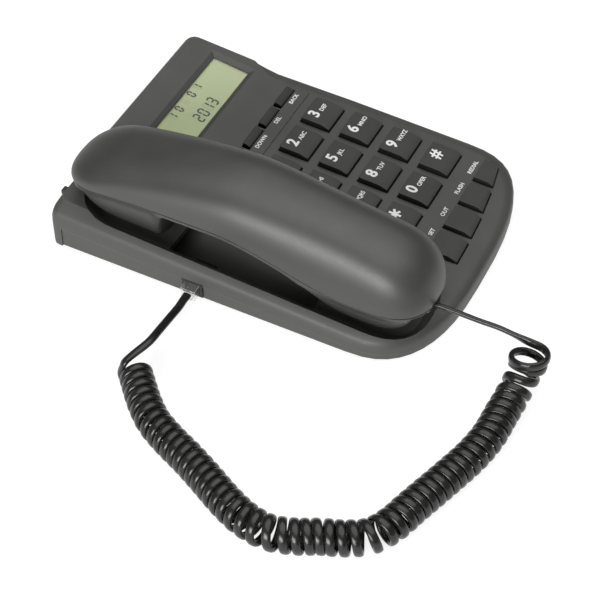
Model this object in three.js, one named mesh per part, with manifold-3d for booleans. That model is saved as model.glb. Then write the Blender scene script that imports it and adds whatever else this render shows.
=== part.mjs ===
// A corded desk telephone: a low sloping base with a display and keys, a handset resting
// in its cradle, and a curly cord lying in front and to the left of it.
// Millimetres, +Z up, +Y towards the back of the telephone, +X towards its keypad side.
import * as THREE from "three";
import { mergeVertices } from "three/addons/utils/BufferGeometryUtils.js";
import Module from "manifold-3d";

const wasm = await Module();
wasm.setup();

// General sizes
const clearance = 0.3;
const overrun = 5;
const mergeDistance = 0.001;
const sliverSize = 0.012;
const halfShare = 0.5;
const fineSides = 24;
const plainSides = 18;
const coarseSides = 12;

// Base: the outline in plan
const leftReach = 67.25;
const rightReach = 72.75;
const frontReach = 94.8;
const backReach = 97;
const rightBow = 4.75;
const frontCentreX = -5;
const frontCornerDepth = 38.8;
const leftCornerPower = 2.6;
const rightCornerPower = 2.9;
const frontRungs = 11;
const backCornerRadius = 4;
const backCornerRungs = 3;
const sideRungShares = [0.12, 0.26, 0.4, 0.54, 0.8, 0.9];

// Base: the heights of the sloping deck, the raised display console and the parting ledge
const deckHeight = 18.6;
const deckSlopeShare = 0.0594;
const consoleSlopeShare = 0.1516;
const consoleLength = 50;
const consoleFootY = backReach - consoleLength;
const consoleStepWidth = 4;
const ledgeHeight = 8;
const ledgeSlopeShare = 0.047;
const skirtLength = 6;
const skirtFrontY = backReach - skirtLength;
const skirtStep = 0.2;
const baseUnderside = 1;
const skirtUnderside = 1;

// Base: the rounded shoulder from the deck down to the side, as insets and drops
const leftShoulder = 7.5;
const rightShoulder = 7.5;
const frontShoulder = 5;
const backShoulder = 2;
const shoulderDrop = 5;
const shoulderShares = [
  [0, 1],
  [0.04, 0.66],
  [0.14, 0.46],
  [0.28, 0.33],
  [0.55, 0.2],
  [1, 0],
];
const leftShoulderScale = 2.1;
const shoulderFadeLength = 13;
const shoulderFadeShare = 0.88;

// Base: walls
const caseWall = 2.4;
const lowerInset = 0.4;
const lowerChamfer = 0.5;
const floorThickness = 2.4;

// Cradle well for the handset
const wellSideMargin = 4.5;
const wellWidth = 47.75;
const wellFrontMargin = 8.3;
const wellBackMargin = 9;
const wellLeft = -leftReach + wellSideMargin;
const wellRight = wellLeft + wellWidth;
const wellFront = -frontReach + wellFrontMargin;
const wellBack = backReach - wellBackMargin;
const consoleSeam = 2;
const consoleLeftX = wellRight - consoleSeam;
const leftShoulderWidth = 42.25;
const leftShoulderX = -leftReach + leftShoulderWidth;
const wellCorner = 24;
const wellCornerPower = 2.6;
const wellDepth = 7.2;
const wellLipDrop = 1.5;
const wellDraft = 5.5;
const wellSkin = 2.6;
const wellRungs = 7;
const troughDepth = 11.5;
const troughSkin = 2;

// The room for the keys and the display: beside the cradle well, in front of the console
// and behind the front edge
const smallButtonFoot = 13.6;
const deckGrooveFoot = 21.3;
const firstRowFoot = 26;
const functionKeyMargin = 26;
const functionKeyBack = -frontReach + functionKeyMargin;
const deckGrooveY = consoleFootY - deckGrooveFoot;
const smallButtonFront = consoleFootY - smallButtonFoot;
const windowFront = 12.2;

// Main keys: three columns by four rows, spread over their room
const keyColumnCount = 3;
const keyRowCount = 4;
const keyColumnGap = 5.3;
const keyRowGap = 5.4;
const keypadLeftMargin = 11.25;
const keypadRightMargin = 12.8;
const keypadFrontMargin = 11.2;
const firstKeyLeft = wellRight + keypadLeftMargin;
const firstKeyBack = consoleFootY - firstRowFoot;
const keypadWidth = rightReach - keypadRightMargin - firstKeyLeft;
const keypadLength = firstKeyBack - functionKeyBack - keypadFrontMargin;
const keyColumnPitch = (keypadWidth + keyColumnGap) / keyColumnCount;
const keyRowPitch = (keypadLength + keyRowGap) / keyRowCount;
const keyWidth = keyColumnPitch - keyColumnGap;
const keyLength = keyRowPitch - keyRowGap;
const keyRise = 2.75;
const keyFacetShare = 0.28;
const keyFacetDrop = 1.3;
const keyStem = 4.2;
const flangeTop = 2.9;
const flangeReach = 0.9;
const keyTravel = 1.5;

// Function keys along the bowed front edge
const functionKeyCount = 4;
const functionKeyGap = 3.45;
const functionKeyLeftMargin = 9;
const functionKeyRightMargin = 11.2;
const functionKeyLeft = wellRight + functionKeyLeftMargin;
const functionRowWidth = rightReach - functionKeyRightMargin - functionKeyLeft;
const functionKeyPitch = (functionRowWidth + functionKeyGap) / functionKeyCount;
const functionKeyWidth = functionKeyPitch - functionKeyGap;
const functionKeyLengths = [15, 14.4, 12.8, 10.4];
const functionKeySlants = [0.4, 0.9, 1.8, 3];
const functionKeyRise = 2.3;

// Small buttons at the foot of the console
const smallButtonCount = 4;
const smallButtonGap = 1.2;
const smallButtonLeftMargin = 11;
const smallButtonRightMargin = 11.95;
const smallButtonLeft = wellRight + smallButtonLeftMargin;
const smallRowWidth = rightReach - smallButtonRightMargin - smallButtonLeft;
const smallButtonPitch = (smallRowWidth + smallButtonGap) / smallButtonCount;
const smallButtonWidth = smallButtonPitch - smallButtonGap;
const smallButtonLength = 4.2;
const smallButtonRise = 1.7;
const deckGrooveWidth = 0.7;
const deckGrooveDepth = 0.5;
const deckGrooveLeftMargin = 10;
const deckGrooveRightMargin = 9.75;
const deckGrooveLeft = wellRight + deckGrooveLeftMargin;
const deckGrooveLength = rightReach - deckGrooveRightMargin - deckGrooveLeft;

// Display
const windowLeftMargin = 12;
const windowRightMargin = 11.75;
const windowLeft = wellRight + windowLeftMargin;
const windowLength = rightReach - windowRightMargin - windowLeft;
const windowDepth = 19.8;
const windowBevel = 2.4;
const windowSink = 1.3;
const lensThickness = 1.1;
const lcdMargin = 3;
const lcdThickness = 3.4;

// Battery compartment under the console
const bayRightMargin = 14.55;
const bayBackMargin = 50.5;
const cellRadius = 5.2;
const cellLength = 44.5;
const cellPitch = 10.9;
const cellCount = 3;
const bayMargin = 0.6;
const bayWall = 1.4;
const doorThickness = 1.6;
const doorLip = 1.6;
const bayFront = backReach - bayBackMargin;
const bayLeft = rightReach - bayRightMargin - cellLength - bayMargin * 2;

// Board, key mat and buzzer
const boardLeftMargin = 9;
const boardRightMargin = 12.75;
const boardFrontMargin = 17.8;
const boardBayGap = 15.5;
const boardLeft = wellRight + boardLeftMargin;
const boardLength = rightReach - boardRightMargin - boardLeft;
const boardFront = -frontReach + boardFrontMargin;
const boardBack = bayFront - boardBayGap;
const boardThickness = 1.6;
const boardInset = 5;
const matThickness = 1.2;
const matOverhang = 7;
const matFront = boardFront - matOverhang;
const boardPostRadius = 2;
const boardPostInset = 4;
const boardPostSetback = 7;
const boardPostStep = 2;
const boardRight = boardLeft + boardLength;
const boardPostPlaces = [
  [boardLeft + boardPostInset, boardBack - boardPostSetback],
  [boardRight - boardPostInset, boardBack - boardPostSetback],
  [boardLeft + boardPostInset, boardFront + boardPostSetback - boardPostStep],
  [boardRight - boardPostInset - boardPostStep, boardFront + boardPostSetback],
];
const buzzerRadius = 10;
const buzzerHeight = 5.4;
const buzzerInset = 18;
const buzzerPlace = [boardLeft + buzzerInset, boardBack - buzzerInset + clearance];

// Case screws and their posts, from the underside
const screwLeftMargin = 5.5;
const screwRightMargin = 7.25;
const screwFrontMargin = 44.8;
const screwBackMargin = 17;
const screwStep = 4;
const screwPlaces = [
  [wellRight + screwLeftMargin, -frontReach + screwFrontMargin],
  [rightReach - screwRightMargin, -frontReach + screwFrontMargin + screwStep],
  [wellRight + screwLeftMargin, backReach - screwBackMargin],
  [rightReach - screwRightMargin - clearance, backReach - screwBackMargin - screwStep],
];
const screwNames = ["front_left", "front_right", "rear_left", "rear_right"];
const postRadius = 3.2;
const postFoot = 7;
const screwRadius = 1.3;
const screwHeadRadius = 2.6;
const screwHeadHeight = 1.4;
const screwSink = 0.6;
const screwReach = 6;
const screwSocketRadius = 3.4;

// Feet
const footSideMargin = 12;
const footCornerStep = 8.5;
const footFrontMargin = 20.8;
const footBackMargin = 11.9;
const footRearStep = 1;
const footPlaces = [
  [-leftReach + footSideMargin, -frontReach + footFrontMargin + footCornerStep],
  [rightReach - footSideMargin - footCornerStep, -frontReach + footFrontMargin],
  [-leftReach + footSideMargin, backReach - footBackMargin],
  [rightReach - footSideMargin + footRearStep, backReach - footBackMargin],
];
const footRadius = 4.5;
const footRecess = 0.8;
const footHeight = baseUnderside + footRecess - clearance;

// Sockets and plugs
const jackY = 21;
const jackHeight = 5.6;
const jackWidth = 10.6;
const jackTall = 8.2;
const jackDepth = 14;
const socketWidth = 8;
const socketTall = 6.4;
const socketDepth = 11;
const plugWidth = 7.3;
const plugTall = 5.7;
const plugProud = 4.4;
const plugInside = 10;
const latchWidth = 3;
const latchThickness = 0.9;
const latchReach = 4.2;
const latchDrop = 1.2;
const lineJackInset = 17;
const lineJackX = wellRight + lineJackInset;
const lineJackWidth = 13;
const lineJackTall = 12;
const lineJackDepth = 14;
const lineSocketWidth = 9.8;
const lineSocketTall = 7.2;
const lineSocketDepth = 10.5;
const lineJackFoot = 3.9;

// Ringer volume switch on the back wall
const ringerSideMargin = 16.25;
const ringerX = -leftReach + ringerSideMargin;
const ringerHeight = 20.2;
const ringerKnobWidth = 3.4;
const ringerKnobTall = 2.4;
const ringerKnobProud = 1.6;
const ringerStroke = 3;
const ringerBodyWidth = 9;
const ringerBodyFoot = 17.3;
const ringerBodyTop = 21.7;
const ringerBodyInset = 6.9;
const ringerBodyDepth = 1.8;
const ringerKnobReach = 0.8;

// Hook switch under the ear recess
const hookWidth = 8;
const hookLength = 6;
const hookFlange = 1.3;
const hookFlangeHeight = 1.3;
const hookTravel = 3;
const hookFoot = 7.9;
const hookSwitchWidth = 14;
const hookSwitchLength = 10;
const hookSwitchTop = 7.6;

// Handset, laid over the cradle well by a small overhang at each end
const handsetHalfWidth = 23;
const handsetX = wellLeft + handsetHalfWidth;
const handsetFrontOverhang = 2.5;
const handsetBackOverhang = 6;
const handsetFrontY = wellFront - handsetFrontOverhang;
const handsetBackY = wellBack + handsetBackOverhang;
const handsetEndLength = 26;
const handsetEndPower = 2.5;
const crownPeak = 62;
const crownPeakInset = 89;
const crownPeakY = handsetBackY - crownPeakInset;
const crownBackFall = 12.8;
const crownBackSpan = 71;
const crownBackPower = 1.6;
const crownFrontFall = 10;
const crownFrontSpan = 75;
const crownFrontPower = 1.4;
const seamMouth = 27.2;
const seamGrip = 41.7;
const seamRiseInset = 31;
const seamRiseLength = 72;
const seamEarInset = 49;
const seamRiseFrontY = handsetFrontY + seamRiseInset;
const seamEarY = handsetBackY - seamEarInset;
const seamEarFall = 3.5;
const seamEarSpan = 39;
const archPower = 2.5;
const archSteps = 12;
const shellWall = 2.4;
const gripDepth = 6;
const gripPower = 3;
const podLift = 0.3;
const podPower = 3.6;
const podNarrow = 3;
const podEndInset = 5;
const podLip = 2.4;
const earPodLength = 56;
const earPodFrontY = handsetBackY - earPodLength;
const earPodBlend = 7;
const mouthPodLength = 68;
const mouthPodBackY = handsetFrontY + mouthPodLength;
const mouthPodBlend = 30;
const troughFrontY = mouthPodBackY - mouthPodBlend * halfShare;
const troughBackY = earPodFrontY;
const endSteps = 7;
const podSteps = 5;
const gripSteps = 6;
const soundHoleRadius = 1.1;
const soundHoleRing = 5;
const soundHoleSides = 6;
const earHoleCount = 6;
const mouthHoleCount = 3;
const speakerInset = 32;
const speakerRadius = 11;
const speakerHeight = 7;
const speakerY = handsetBackY - speakerInset;
const hookStep = 2;
const hookY = speakerY + hookStep;
const speakerSeat = 2.4;
const microphoneInset = 25;
const microphoneRadius = 4.8;
const microphoneHeight = 5;
const microphoneSeat = 1.35;
const microphoneY = handsetFrontY + microphoneInset;
const earScrewStep = 8.8;
const mouthScrewStep = 12;
const handsetScrewPlaces = [earPodFrontY + earScrewStep, microphoneY + mouthScrewStep];
const handsetScrewNames = ["ear", "mouth"];
const handsetJackStep = 1.75;
const handsetJackX = handsetX - handsetJackStep;
const handsetJackHeight = 23.4;
const handsetJackDepth = 13;
const handsetJackSink = 7;
const handsetJackFront = handsetFrontY + handsetJackSink;

// Curly cord: a flat lead wound into a coil
const leadHalfWidth = 1.85;
const leadHalfThickness = 1.2;
const coilRadius = 6.5;
const coilFlare = 1.5;
const coilFlareLength = 11;
const curlCount = 55;
const curlSteps = 8;
const curlSides = 5;
const coilBendShare = 1.15;
const coilSamples = 6000;
const coilBendReach = 5;
const coilFloorGap = 0.15;
const coilHeight = coilRadius + leadHalfThickness + coilFloorGap;
const tailHalfWidth = 2.1;
const tailHalfThickness = 1;
const tailSides = 8;
const tailStep = 6;
const baseTailAcross = [0, 1, 0];
const handsetTailAcross = [0.63, 0, -0.78];
const gapCurlReach = 3;
// The axis of the coil, from the base's end to the handset's end
const coilRoute = [
  [-123.4, 18.4, coilHeight],
  [-129.1, 13.1, coilHeight],
  [-136.9, 5.6, coilHeight],
  [-144, -2.9, coilHeight],
  [-149.6, -13.4, coilHeight],
  [-155.1, -26.2, coilHeight],
  [-161.1, -38.5, coilHeight],
  [-167.1, -50.3, coilHeight],
  [-171.6, -62, coilHeight],
  [-172.9, -73.4, coilHeight],
  [-169.9, -83.8, coilHeight],
  [-165.4, -93, coilHeight],
  [-161.6, -102.4, coilHeight],
  [-155.9, -111, coilHeight],
  [-146.6, -116.4, coilHeight],
  [-136, -119.8, coilHeight],
  [-115.3, -126.7, coilHeight],
  [-99.1, -131.6, coilHeight],
  [-86.3, -133.8, 8],
  [-74.5, -134.1, 8.4],
  [-67.8, -134.5, 9],
  [-62.2, -134.8, 10.2],
  [-57.4, -135.2, 12.2],
  [-53.9, -135.7, 15.4],
  [-51, -136.1, 19.2],
  [-49.6, -135.8, 23.8],
];
// The directions in which the lead leaves the coil at its two ends
const baseLeave = [0.39, -0.39, 0.83];
const handsetLeave = [0, 1, 0];
// The lead between the base's plug and the coil, after the plug and before the coil
const baseTailRoute = [
  [-82, 19.8, 7.7],
  [-92, 18.9, 10.5],
  [-102, 18, 13.3],
  [-112, 17.4, 15.8],
];
// The lead between the handset's plug and the coil, after the plug and before the coil
const handsetTailRoute = [
  [-41.6, -99, 23.5],
  [-41.8, -109, 23.5],
  [-41.8, -119, 23.6],
];

const phone = new THREE.Group();

// Materials
function plastic(color, roughness) {
  return new THREE.MeshStandardMaterial({ color, roughness, metalness: 0 });
}

function metal(color, roughness) {
  return new THREE.MeshStandardMaterial({ color, roughness, metalness: 1 });
}

const casePlastic = plastic(0x4b4b49, 0.55);
const keyPlastic = plastic(0x41413f, 0.5);
const handsetPlastic = plastic(0x525250, 0.5);
const footRubber = plastic(0x1c1c1c, 0.9);
const matRubber = plastic(0x2a2a2c, 0.85);
const socketPlastic = plastic(0x202020, 0.6);
const boardLaminate = plastic(0x1f5a38, 0.5);
const lensPlastic = new THREE.MeshStandardMaterial({
  color: 0xd8e0c8,
  roughness: 0.15,
  transparent: true,
  opacity: 0.35,
});
const displayGlass = plastic(0xb4c094, 0.35);
const plugPlastic = new THREE.MeshStandardMaterial({
  color: 0xd4d6d2,
  roughness: 0.12,
  transparent: true,
  opacity: 0.5,
});
const leadPlastic = plastic(0x1d1d1c, 0.32);
const screwSteel = metal(0x9a9a98, 0.35);
const cellSteel = metal(0xb4b0a4, 0.4);
const speakerPaper = plastic(0x35332f, 0.8);

// Solids

// Turns every triangle of an inside-out closed mesh round.
function facedOutwards(positions, triangles) {
  const corner = (index) => new THREE.Vector3().fromArray(positions, index * 3);
  let sixVolumes = 0;
  for (let i = 0; i < triangles.length; i += 3) {
    const [a, b, c] = [0, 1, 2].map((k) => corner(triangles[i + k]));
    sixVolumes += a.dot(b.cross(c));
  }
  if (sixVolumes < 0) {
    for (let i = 0; i < triangles.length; i += 3) {
      [triangles[i + 1], triangles[i + 2]] = [triangles[i + 2], triangles[i + 1]];
    }
  }
  return triangles;
}

// A closed three.js geometry as a solid that can be joined and cut.
function solidOf(geometry) {
  const bare = new THREE.BufferGeometry();
  bare.setAttribute("position", geometry.getAttribute("position"));
  bare.setIndex(geometry.index);
  const merged = mergeVertices(bare, mergeDistance);
  const index = merged.index.array;
  const kept = [];
  for (let i = 0; i < index.length; i += 3) {
    const [a, b, c] = [index[i], index[i + 1], index[i + 2]];
    if (a !== b && b !== c && a !== c) kept.push(a, b, c);
  }
  const positions = merged.attributes.position.array;
  const triVerts = new Uint32Array(facedOutwards(positions, kept));
  const vertProperties = new Float32Array(positions);
  return new wasm.Manifold(new wasm.Mesh({ numProp: 3, vertProperties, triVerts }));
}

// A solid as a three.js geometry.
function geometryOf(solid) {
  const made = solid.getMesh();
  const geometry = new THREE.BufferGeometry();
  geometry.setAttribute("position", new THREE.BufferAttribute(made.vertProperties, 3));
  geometry.setIndex(new THREE.BufferAttribute(made.triVerts, 1));
  geometry.computeVertexNormals();
  return geometry;
}

// A box from its lowest and highest corner.
function box(low, high) {
  const size = high.map((value, k) => value - low[k]);
  const geometry = new THREE.BoxGeometry(...size);
  geometry.translate(...low.map((value, k) => value + size[k] * halfShare));
  return solidOf(geometry);
}

// A box centred on a place in plan, standing from one height to another.
function block([x, y], [width, length], bottom, top) {
  const [halfX, halfY] = [width * halfShare, length * halfShare];
  return box([x - halfX, y - halfY, bottom], [x + halfX, y + halfY, top]);
}

// An upright cylinder on a place in plan.
function rod([x, y], radius, bottom, top, sides = plainSides) {
  const geometry = new THREE.CylinderGeometry(radius, radius, top - bottom, sides);
  geometry.rotateX(Math.PI / 2);
  geometry.translate(x, y, (bottom + top) * halfShare);
  return solidOf(geometry);
}

// A prism of a plan outline, standing from one height to another.
function prism(outline, bottom, top) {
  const shape = new THREE.Shape(outline.map(([x, y]) => new THREE.Vector2(x, y)));
  const geometry = new THREE.ExtrudeGeometry(shape, {
    depth: top - bottom,
    bevelEnabled: false,
  });
  geometry.translate(0, 0, bottom);
  return solidOf(geometry);
}

// A closed skin over rings of equal count, with a flat fan at each end.
function loft(rings) {
  const count = rings[0].length;
  const positions = rings.flat().flatMap((point) => point.toArray());
  const index = [];
  const at = (ring, k) => ring * count + (k % count);
  for (let ring = 0; ring + 1 < rings.length; ring++) {
    for (let k = 0; k < count; k++) {
      index.push(at(ring, k), at(ring, k + 1), at(ring + 1, k + 1));
      index.push(at(ring, k), at(ring + 1, k + 1), at(ring + 1, k));
    }
  }
  const last = rings.length - 1;
  for (let k = 1; k + 1 < count; k++) {
    index.push(at(0, 0), at(0, k + 1), at(0, k));
    index.push(at(last, 0), at(last, k), at(last, k + 1));
  }
  const geometry = new THREE.BufferGeometry();
  geometry.setAttribute("position", new THREE.Float32BufferAttribute(positions, 3));
  geometry.setIndex(index);
  return solidOf(geometry);
}

// A closed skin over layers of rungs. A rung is a row of points from left to right, the
// first rung may shrink to a point, and each layer has the same rungs at its own height.
function rungLoft(layers) {
  const positions = layers.flat(2).flatMap((point) => point.toArray());
  const rungCount = layers[0].length;
  const width = layers[0][0].length;
  const at = (layer, rung, k) => (layer * rungCount + rung) * width + k;
  const rim = [];
  for (let rung = 0; rung < rungCount; rung++) rim.push([rung, 0]);
  for (let k = 1; k < width; k++) rim.push([rungCount - 1, k]);
  for (let rung = rungCount - 2; rung >= 0; rung--) rim.push([rung, width - 1]);
  for (let k = width - 2; k > 0; k--) rim.push([0, k]);
  const index = [];
  for (let layer = 0; layer + 1 < layers.length; layer++) {
    rim.forEach(([rung, k], place) => {
      const [nextRung, nextK] = rim[(place + 1) % rim.length];
      const [a, b] = [at(layer, rung, k), at(layer, nextRung, nextK)];
      const [c, d] = [at(layer + 1, nextRung, nextK), at(layer + 1, rung, k)];
      index.push(a, c, b, a, d, c);
    });
  }
  const top = layers.length - 1;
  for (let rung = 0; rung + 1 < rungCount; rung++) {
    for (let k = 0; k + 1 < width; k++) {
      const corners = [
        [rung, k],
        [rung, k + 1],
        [rung + 1, k + 1],
        [rung + 1, k],
      ];
      const [a, b, c, d] = corners.map((corner) => at(0, ...corner));
      const [e, f, g, h] = corners.map((corner) => at(top, ...corner));
      index.push(a, c, b, a, d, c, e, f, g, e, g, h);
    }
  }
  const geometry = new THREE.BufferGeometry();
  geometry.setAttribute("position", new THREE.Float32BufferAttribute(positions, 3));
  geometry.setIndex(index);
  return solidOf(geometry);
}

// Moves a solid that was drawn level onto a sloping plane.
function onSlope(solid, originY, originZ, slope) {
  const geometry = geometryOf(solid);
  geometry.rotateX(Math.atan(slope));
  geometry.translate(0, originY, originZ);
  return solidOf(geometry);
}

const onDeck = (solid) => onSlope(solid, 0, deckHeight, deckSlopeShare);
const onConsole = (solid) =>
  onSlope(solid, consoleFootY, deckZ(consoleFootY), consoleSlopeShare);

// Adds a named mesh to the telephone, without the slivers that cutting leaves.
function addPiece(name, solid, material) {
  const mesh = new THREE.Mesh(geometryOf(solid.simplify(sliverSize)), material);
  mesh.name = name;
  phone.add(mesh);
}

function join(solids) {
  return solids.reduce((all, next) => all.add(next));
}

const clamp01 = (value) => THREE.MathUtils.clamp(value, 0, 1);
const smooth = (value) => THREE.MathUtils.smoothstep(value, 0, 1);

// Heights of the base

function deckZ(y) {
  return deckHeight + deckSlopeShare * y;
}

function ledgeZ(y) {
  return ledgeHeight + ledgeSlopeShare * y;
}

function topZ(x, y) {
  const past = Math.max(y - consoleFootY, 0);
  const step = clamp01((x - consoleLeftX) / consoleStepWidth);
  return deckZ(y) + past * (consoleSlopeShare - deckSlopeShare) * step;
}

// How much deeper the shoulder is on the left than elsewhere.
function shoulderScale(x) {
  const share = clamp01((leftShoulderX - x) / (leftShoulderX + leftReach));
  return 1 + (leftShoulderScale - 1) * share;
}

// The superellipse's reach across, for a distance along.
function cornerReach(along, across, depth, power) {
  const share = clamp01(along / depth);
  return across * (1 - share ** power) ** (1 / power);
}

// The base's outline as rungs from the front to a back line, drawn in by a wall and by a
// share of the shoulder.
function caseRungs(wall, shoulder = 0, backY = backReach - wall - backShoulder * shoulder) {
  const left = -leftReach + wall + leftShoulder * shoulder;
  const right = rightReach - wall - rightShoulder * shoulder;
  const regained = rightShoulder * shoulder * shoulderFadeShare;
  const depth = frontCornerDepth - wall - frontShoulder * shoulder;
  const cornerY = -frontReach + frontCornerDepth;
  const rungs = [];
  for (let k = 0; k <= frontRungs; k++) {
    const turn = (Math.PI / 2) * (1 - k / frontRungs);
    const along = depth * Math.sin(turn) ** (2 / leftCornerPower);
    const reachLeft = frontCentreX - left;
    const reachRight = right - frontCentreX;
    rungs.push([
      cornerY - along,
      frontCentreX - cornerReach(along, reachLeft, depth, leftCornerPower),
      frontCentreX + cornerReach(along, reachRight, depth, rightCornerPower),
    ]);
  }
  const sideLength = backReach - cornerY;
  const rightAt = (y) => {
    const bowed = right - rightBow * ((y - cornerY) / sideLength) ** 2;
    return bowed + regained * smooth((y - consoleFootY) / shoulderFadeLength);
  };
  const radius = Math.max(backCornerRadius - wall, clearance);
  const sideEnd = backY - radius;
  sideRungShares
    .map((share) => cornerY + share * sideLength)
    .concat(consoleFootY, consoleFootY + shoulderFadeLength)
    .concat(skirtFrontY - skirtStep, skirtFrontY)
    .sort((a, b) => a - b)
    .map((y) => Math.min(y, sideEnd))
    .forEach((y) => rungs.push([y, left, rightAt(y)]));
  for (let k = 0; k <= backCornerRungs; k++) {
    const turn = (Math.PI / 2) * (k / backCornerRungs);
    const y = sideEnd + radius * Math.sin(turn);
    const drawn = radius * (1 - Math.cos(turn));
    rungs.push([y, left + drawn, rightAt(y) - drawn]);
  }
  return rungs;
}

// One layer of the base: every rung gets the console's two step columns as points.
function caseLayer(rungs, heightAt) {
  const columns = [consoleLeftX, consoleLeftX + consoleStepWidth];
  return rungs.map(([y, left, right]) =>
    [left, ...columns.map((x) => THREE.MathUtils.clamp(x, left, right)), right].map(
      (x) => new THREE.Vector3(x, y, heightAt(x, y)),
    ),
  );
}

// The base's outer form or, drawn in by a wall, the hollow in it.
function caseForm(wall, bottomAt) {
  const layers = [caseLayer(caseRungs(wall), bottomAt)];
  shoulderShares.forEach(([insetShare, dropShare]) => {
    layers.push(
      caseLayer(caseRungs(wall, insetShare), (x, y) => {
        const drop = dropShare * shoulderDrop * shoulderScale(x);
        return Math.max(topZ(x, y) - wall - drop, bottomAt(x, y) + clearance);
      }),
    );
  });
  return rungLoft(layers);
}

// The cradle well, or with a skin the space that its walls take.
function wellForm(skin, floorSkin) {
  const outline = (inset) => {
    const left = wellLeft - skin + inset;
    const right = wellRight + skin - inset;
    const middle = (left + right) * halfShare;
    const reach = (right - left) * halfShare;
    const depth = wellCorner;
    const ends = [wellFront - skin + inset + depth, wellBack + skin - inset - depth];
    const rungs = [];
    for (let k = 0; k <= wellRungs; k++) {
      const along = depth * Math.cos(((k / wellRungs) * Math.PI) / 2);
      const across = cornerReach(along, reach, depth, wellCornerPower);
      rungs.push([ends[0] - along, middle - across, middle + across]);
    }
    for (let k = wellRungs; k >= 0; k--) {
      const along = depth * Math.cos(((k / wellRungs) * Math.PI) / 2);
      const across = cornerReach(along, reach, depth, wellCornerPower);
      rungs.push([ends[1] + along, middle - across, middle + across]);
    }
    return rungs;
  };
  const layer = (inset, rise) =>
    outline(inset).map(([y, left, right]) =>
      [left, right].map((x) => new THREE.Vector3(x, y, deckZ(y) + rise)),
    );
  return rungLoft([
    layer(wellDraft, -wellDepth - floorSkin),
    layer(0, -wellLipDrop),
    layer(0, keyLength),
  ]);
}

// The deeper trough in the middle of the well, where fingers reach round the grip.
function troughForm(skin, floorSkin) {
  const inset = wellDraft + clearance - skin;
  return onDeck(
    box(
      [wellLeft + inset, troughFrontY - skin, -troughDepth - floorSkin],
      [wellRight - inset, troughBackY + skin, -wellDepth + clearance],
    ),
  );
}

// The space inside the upper case, a clearance away from its walls.
const caseRoom = caseForm(caseWall + clearance, () => 0);

// Keys

// The plan outline of a function key, with its front edge slanting back to the right.
function functionKeyOutline(number, grow = 0) {
  const left = functionKeyLeft + number * functionKeyPitch - grow;
  const right = left + functionKeyWidth + grow * 2;
  const back = functionKeyBack + grow;
  const front = functionKeyBack - functionKeyLengths[number] - grow;
  return [
    [left, front],
    [right, front + functionKeySlants[number]],
    [right, back],
    [left, back],
  ];
}

function rectangle(left, front, width, length, grow = 0) {
  const [right, back] = [left + width + grow, front + length + grow];
  return [
    [left - grow, front - grow],
    [right, front - grow],
    [right, back],
    [left - grow, back],
  ];
}

// A key cap with a sloping front facet, a stem through the deck and a flange under it.
function keySolid(outlineAt, rise, facetShare, facetDrop) {
  const outline = outlineAt(0);
  const xs = outline.map(([x]) => x);
  const ys = outline.map(([, y]) => y);
  const [left, right] = [Math.min(...xs), Math.max(...xs)];
  const [front, back] = [Math.min(...ys), Math.max(...ys)];
  const facet = front + (back - front) * facetShare;
  const cap = prism(outline, -keyStem, rise);
  const edge = -overrun;
  const fallen = rise - (facetDrop * (facet - front + overrun)) / (facet - front);
  const wedge = loft(
    [left - overrun, right + overrun].map((x) => [
      new THREE.Vector3(x, facet, rise),
      new THREE.Vector3(x, facet, rise + overrun),
      new THREE.Vector3(x, front + edge, rise + overrun),
      new THREE.Vector3(x, front + edge, fallen),
    ]),
  );
  const flange = onDeck(prism(outlineAt(flangeReach), -keyStem, -flangeTop));
  return onDeck(cap.subtract(wedge)).add(flange.intersect(caseRoom));
}

// The hole in the deck that a key's stem passes through.
function keyHole(outlineAt) {
  return onDeck(prism(outlineAt(clearance), -keyStem - overrun, overrun));
}

const keyRows = [
  ["key_1", "key_2", "key_3"],
  ["key_4", "key_5", "key_6"],
  ["key_7", "key_8", "key_9"],
  ["key_star", "key_0", "key_hash"],
];
const functionKeyNames = ["key_set", "key_out", "key_flash", "key_redial"];
const smallButtonNames = ["button_up", "button_down", "button_delete", "button_back"];

const keys = [];
keyRows.forEach((names, row) => {
  names.forEach((name, column) => {
    const left = firstKeyLeft + column * keyColumnPitch;
    const front = firstKeyBack - row * keyRowPitch - keyLength;
    const outlineAt = (grow) => rectangle(left, front, keyWidth, keyLength, grow);
    keys.push([name, outlineAt, keyRise, keyFacetShare, keyFacetDrop]);
  });
});
functionKeyNames.forEach((name, number) => {
  const outlineAt = (grow) => functionKeyOutline(number, grow);
  keys.push([name, outlineAt, functionKeyRise, keyFacetShare, keyFacetDrop]);
});
smallButtonNames.forEach((name, number) => {
  const left = smallButtonLeft + number * smallButtonPitch;
  const outlineAt = (grow) =>
    rectangle(left, smallButtonFront, smallButtonWidth, smallButtonLength, grow * halfShare);
  keys.push([name, outlineAt, smallButtonRise, halfShare, smallButtonRise * halfShare]);
});

function addKeys() {
  keys.forEach(([name, outlineAt, rise, facetShare, facetDrop]) => {
    addPiece(name, keySolid(outlineAt, rise, facetShare, facetDrop), keyPlastic);
  });
}

// Sockets

// The room that the handset's socket in the base takes in the case walls.
function jackRoom(grow) {
  const [halfWidth, halfTall] = [jackWidth * halfShare + grow, jackTall * halfShare + grow];
  return box(
    [-leftReach - overrun * grow, jackY - halfWidth, jackHeight - halfTall],
    [-leftReach + jackDepth + grow, jackY + halfWidth, jackHeight + halfTall],
  );
}

function lineJackRoom(grow) {
  const halfWidth = lineJackWidth * halfShare + grow;
  return box(
    [lineJackX - halfWidth, backReach - lineJackDepth - grow, lineJackFoot - grow],
    [lineJackX + halfWidth, backReach + grow * overrun, lineJackFoot + lineJackTall + grow],
  );
}

// Upper case

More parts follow.
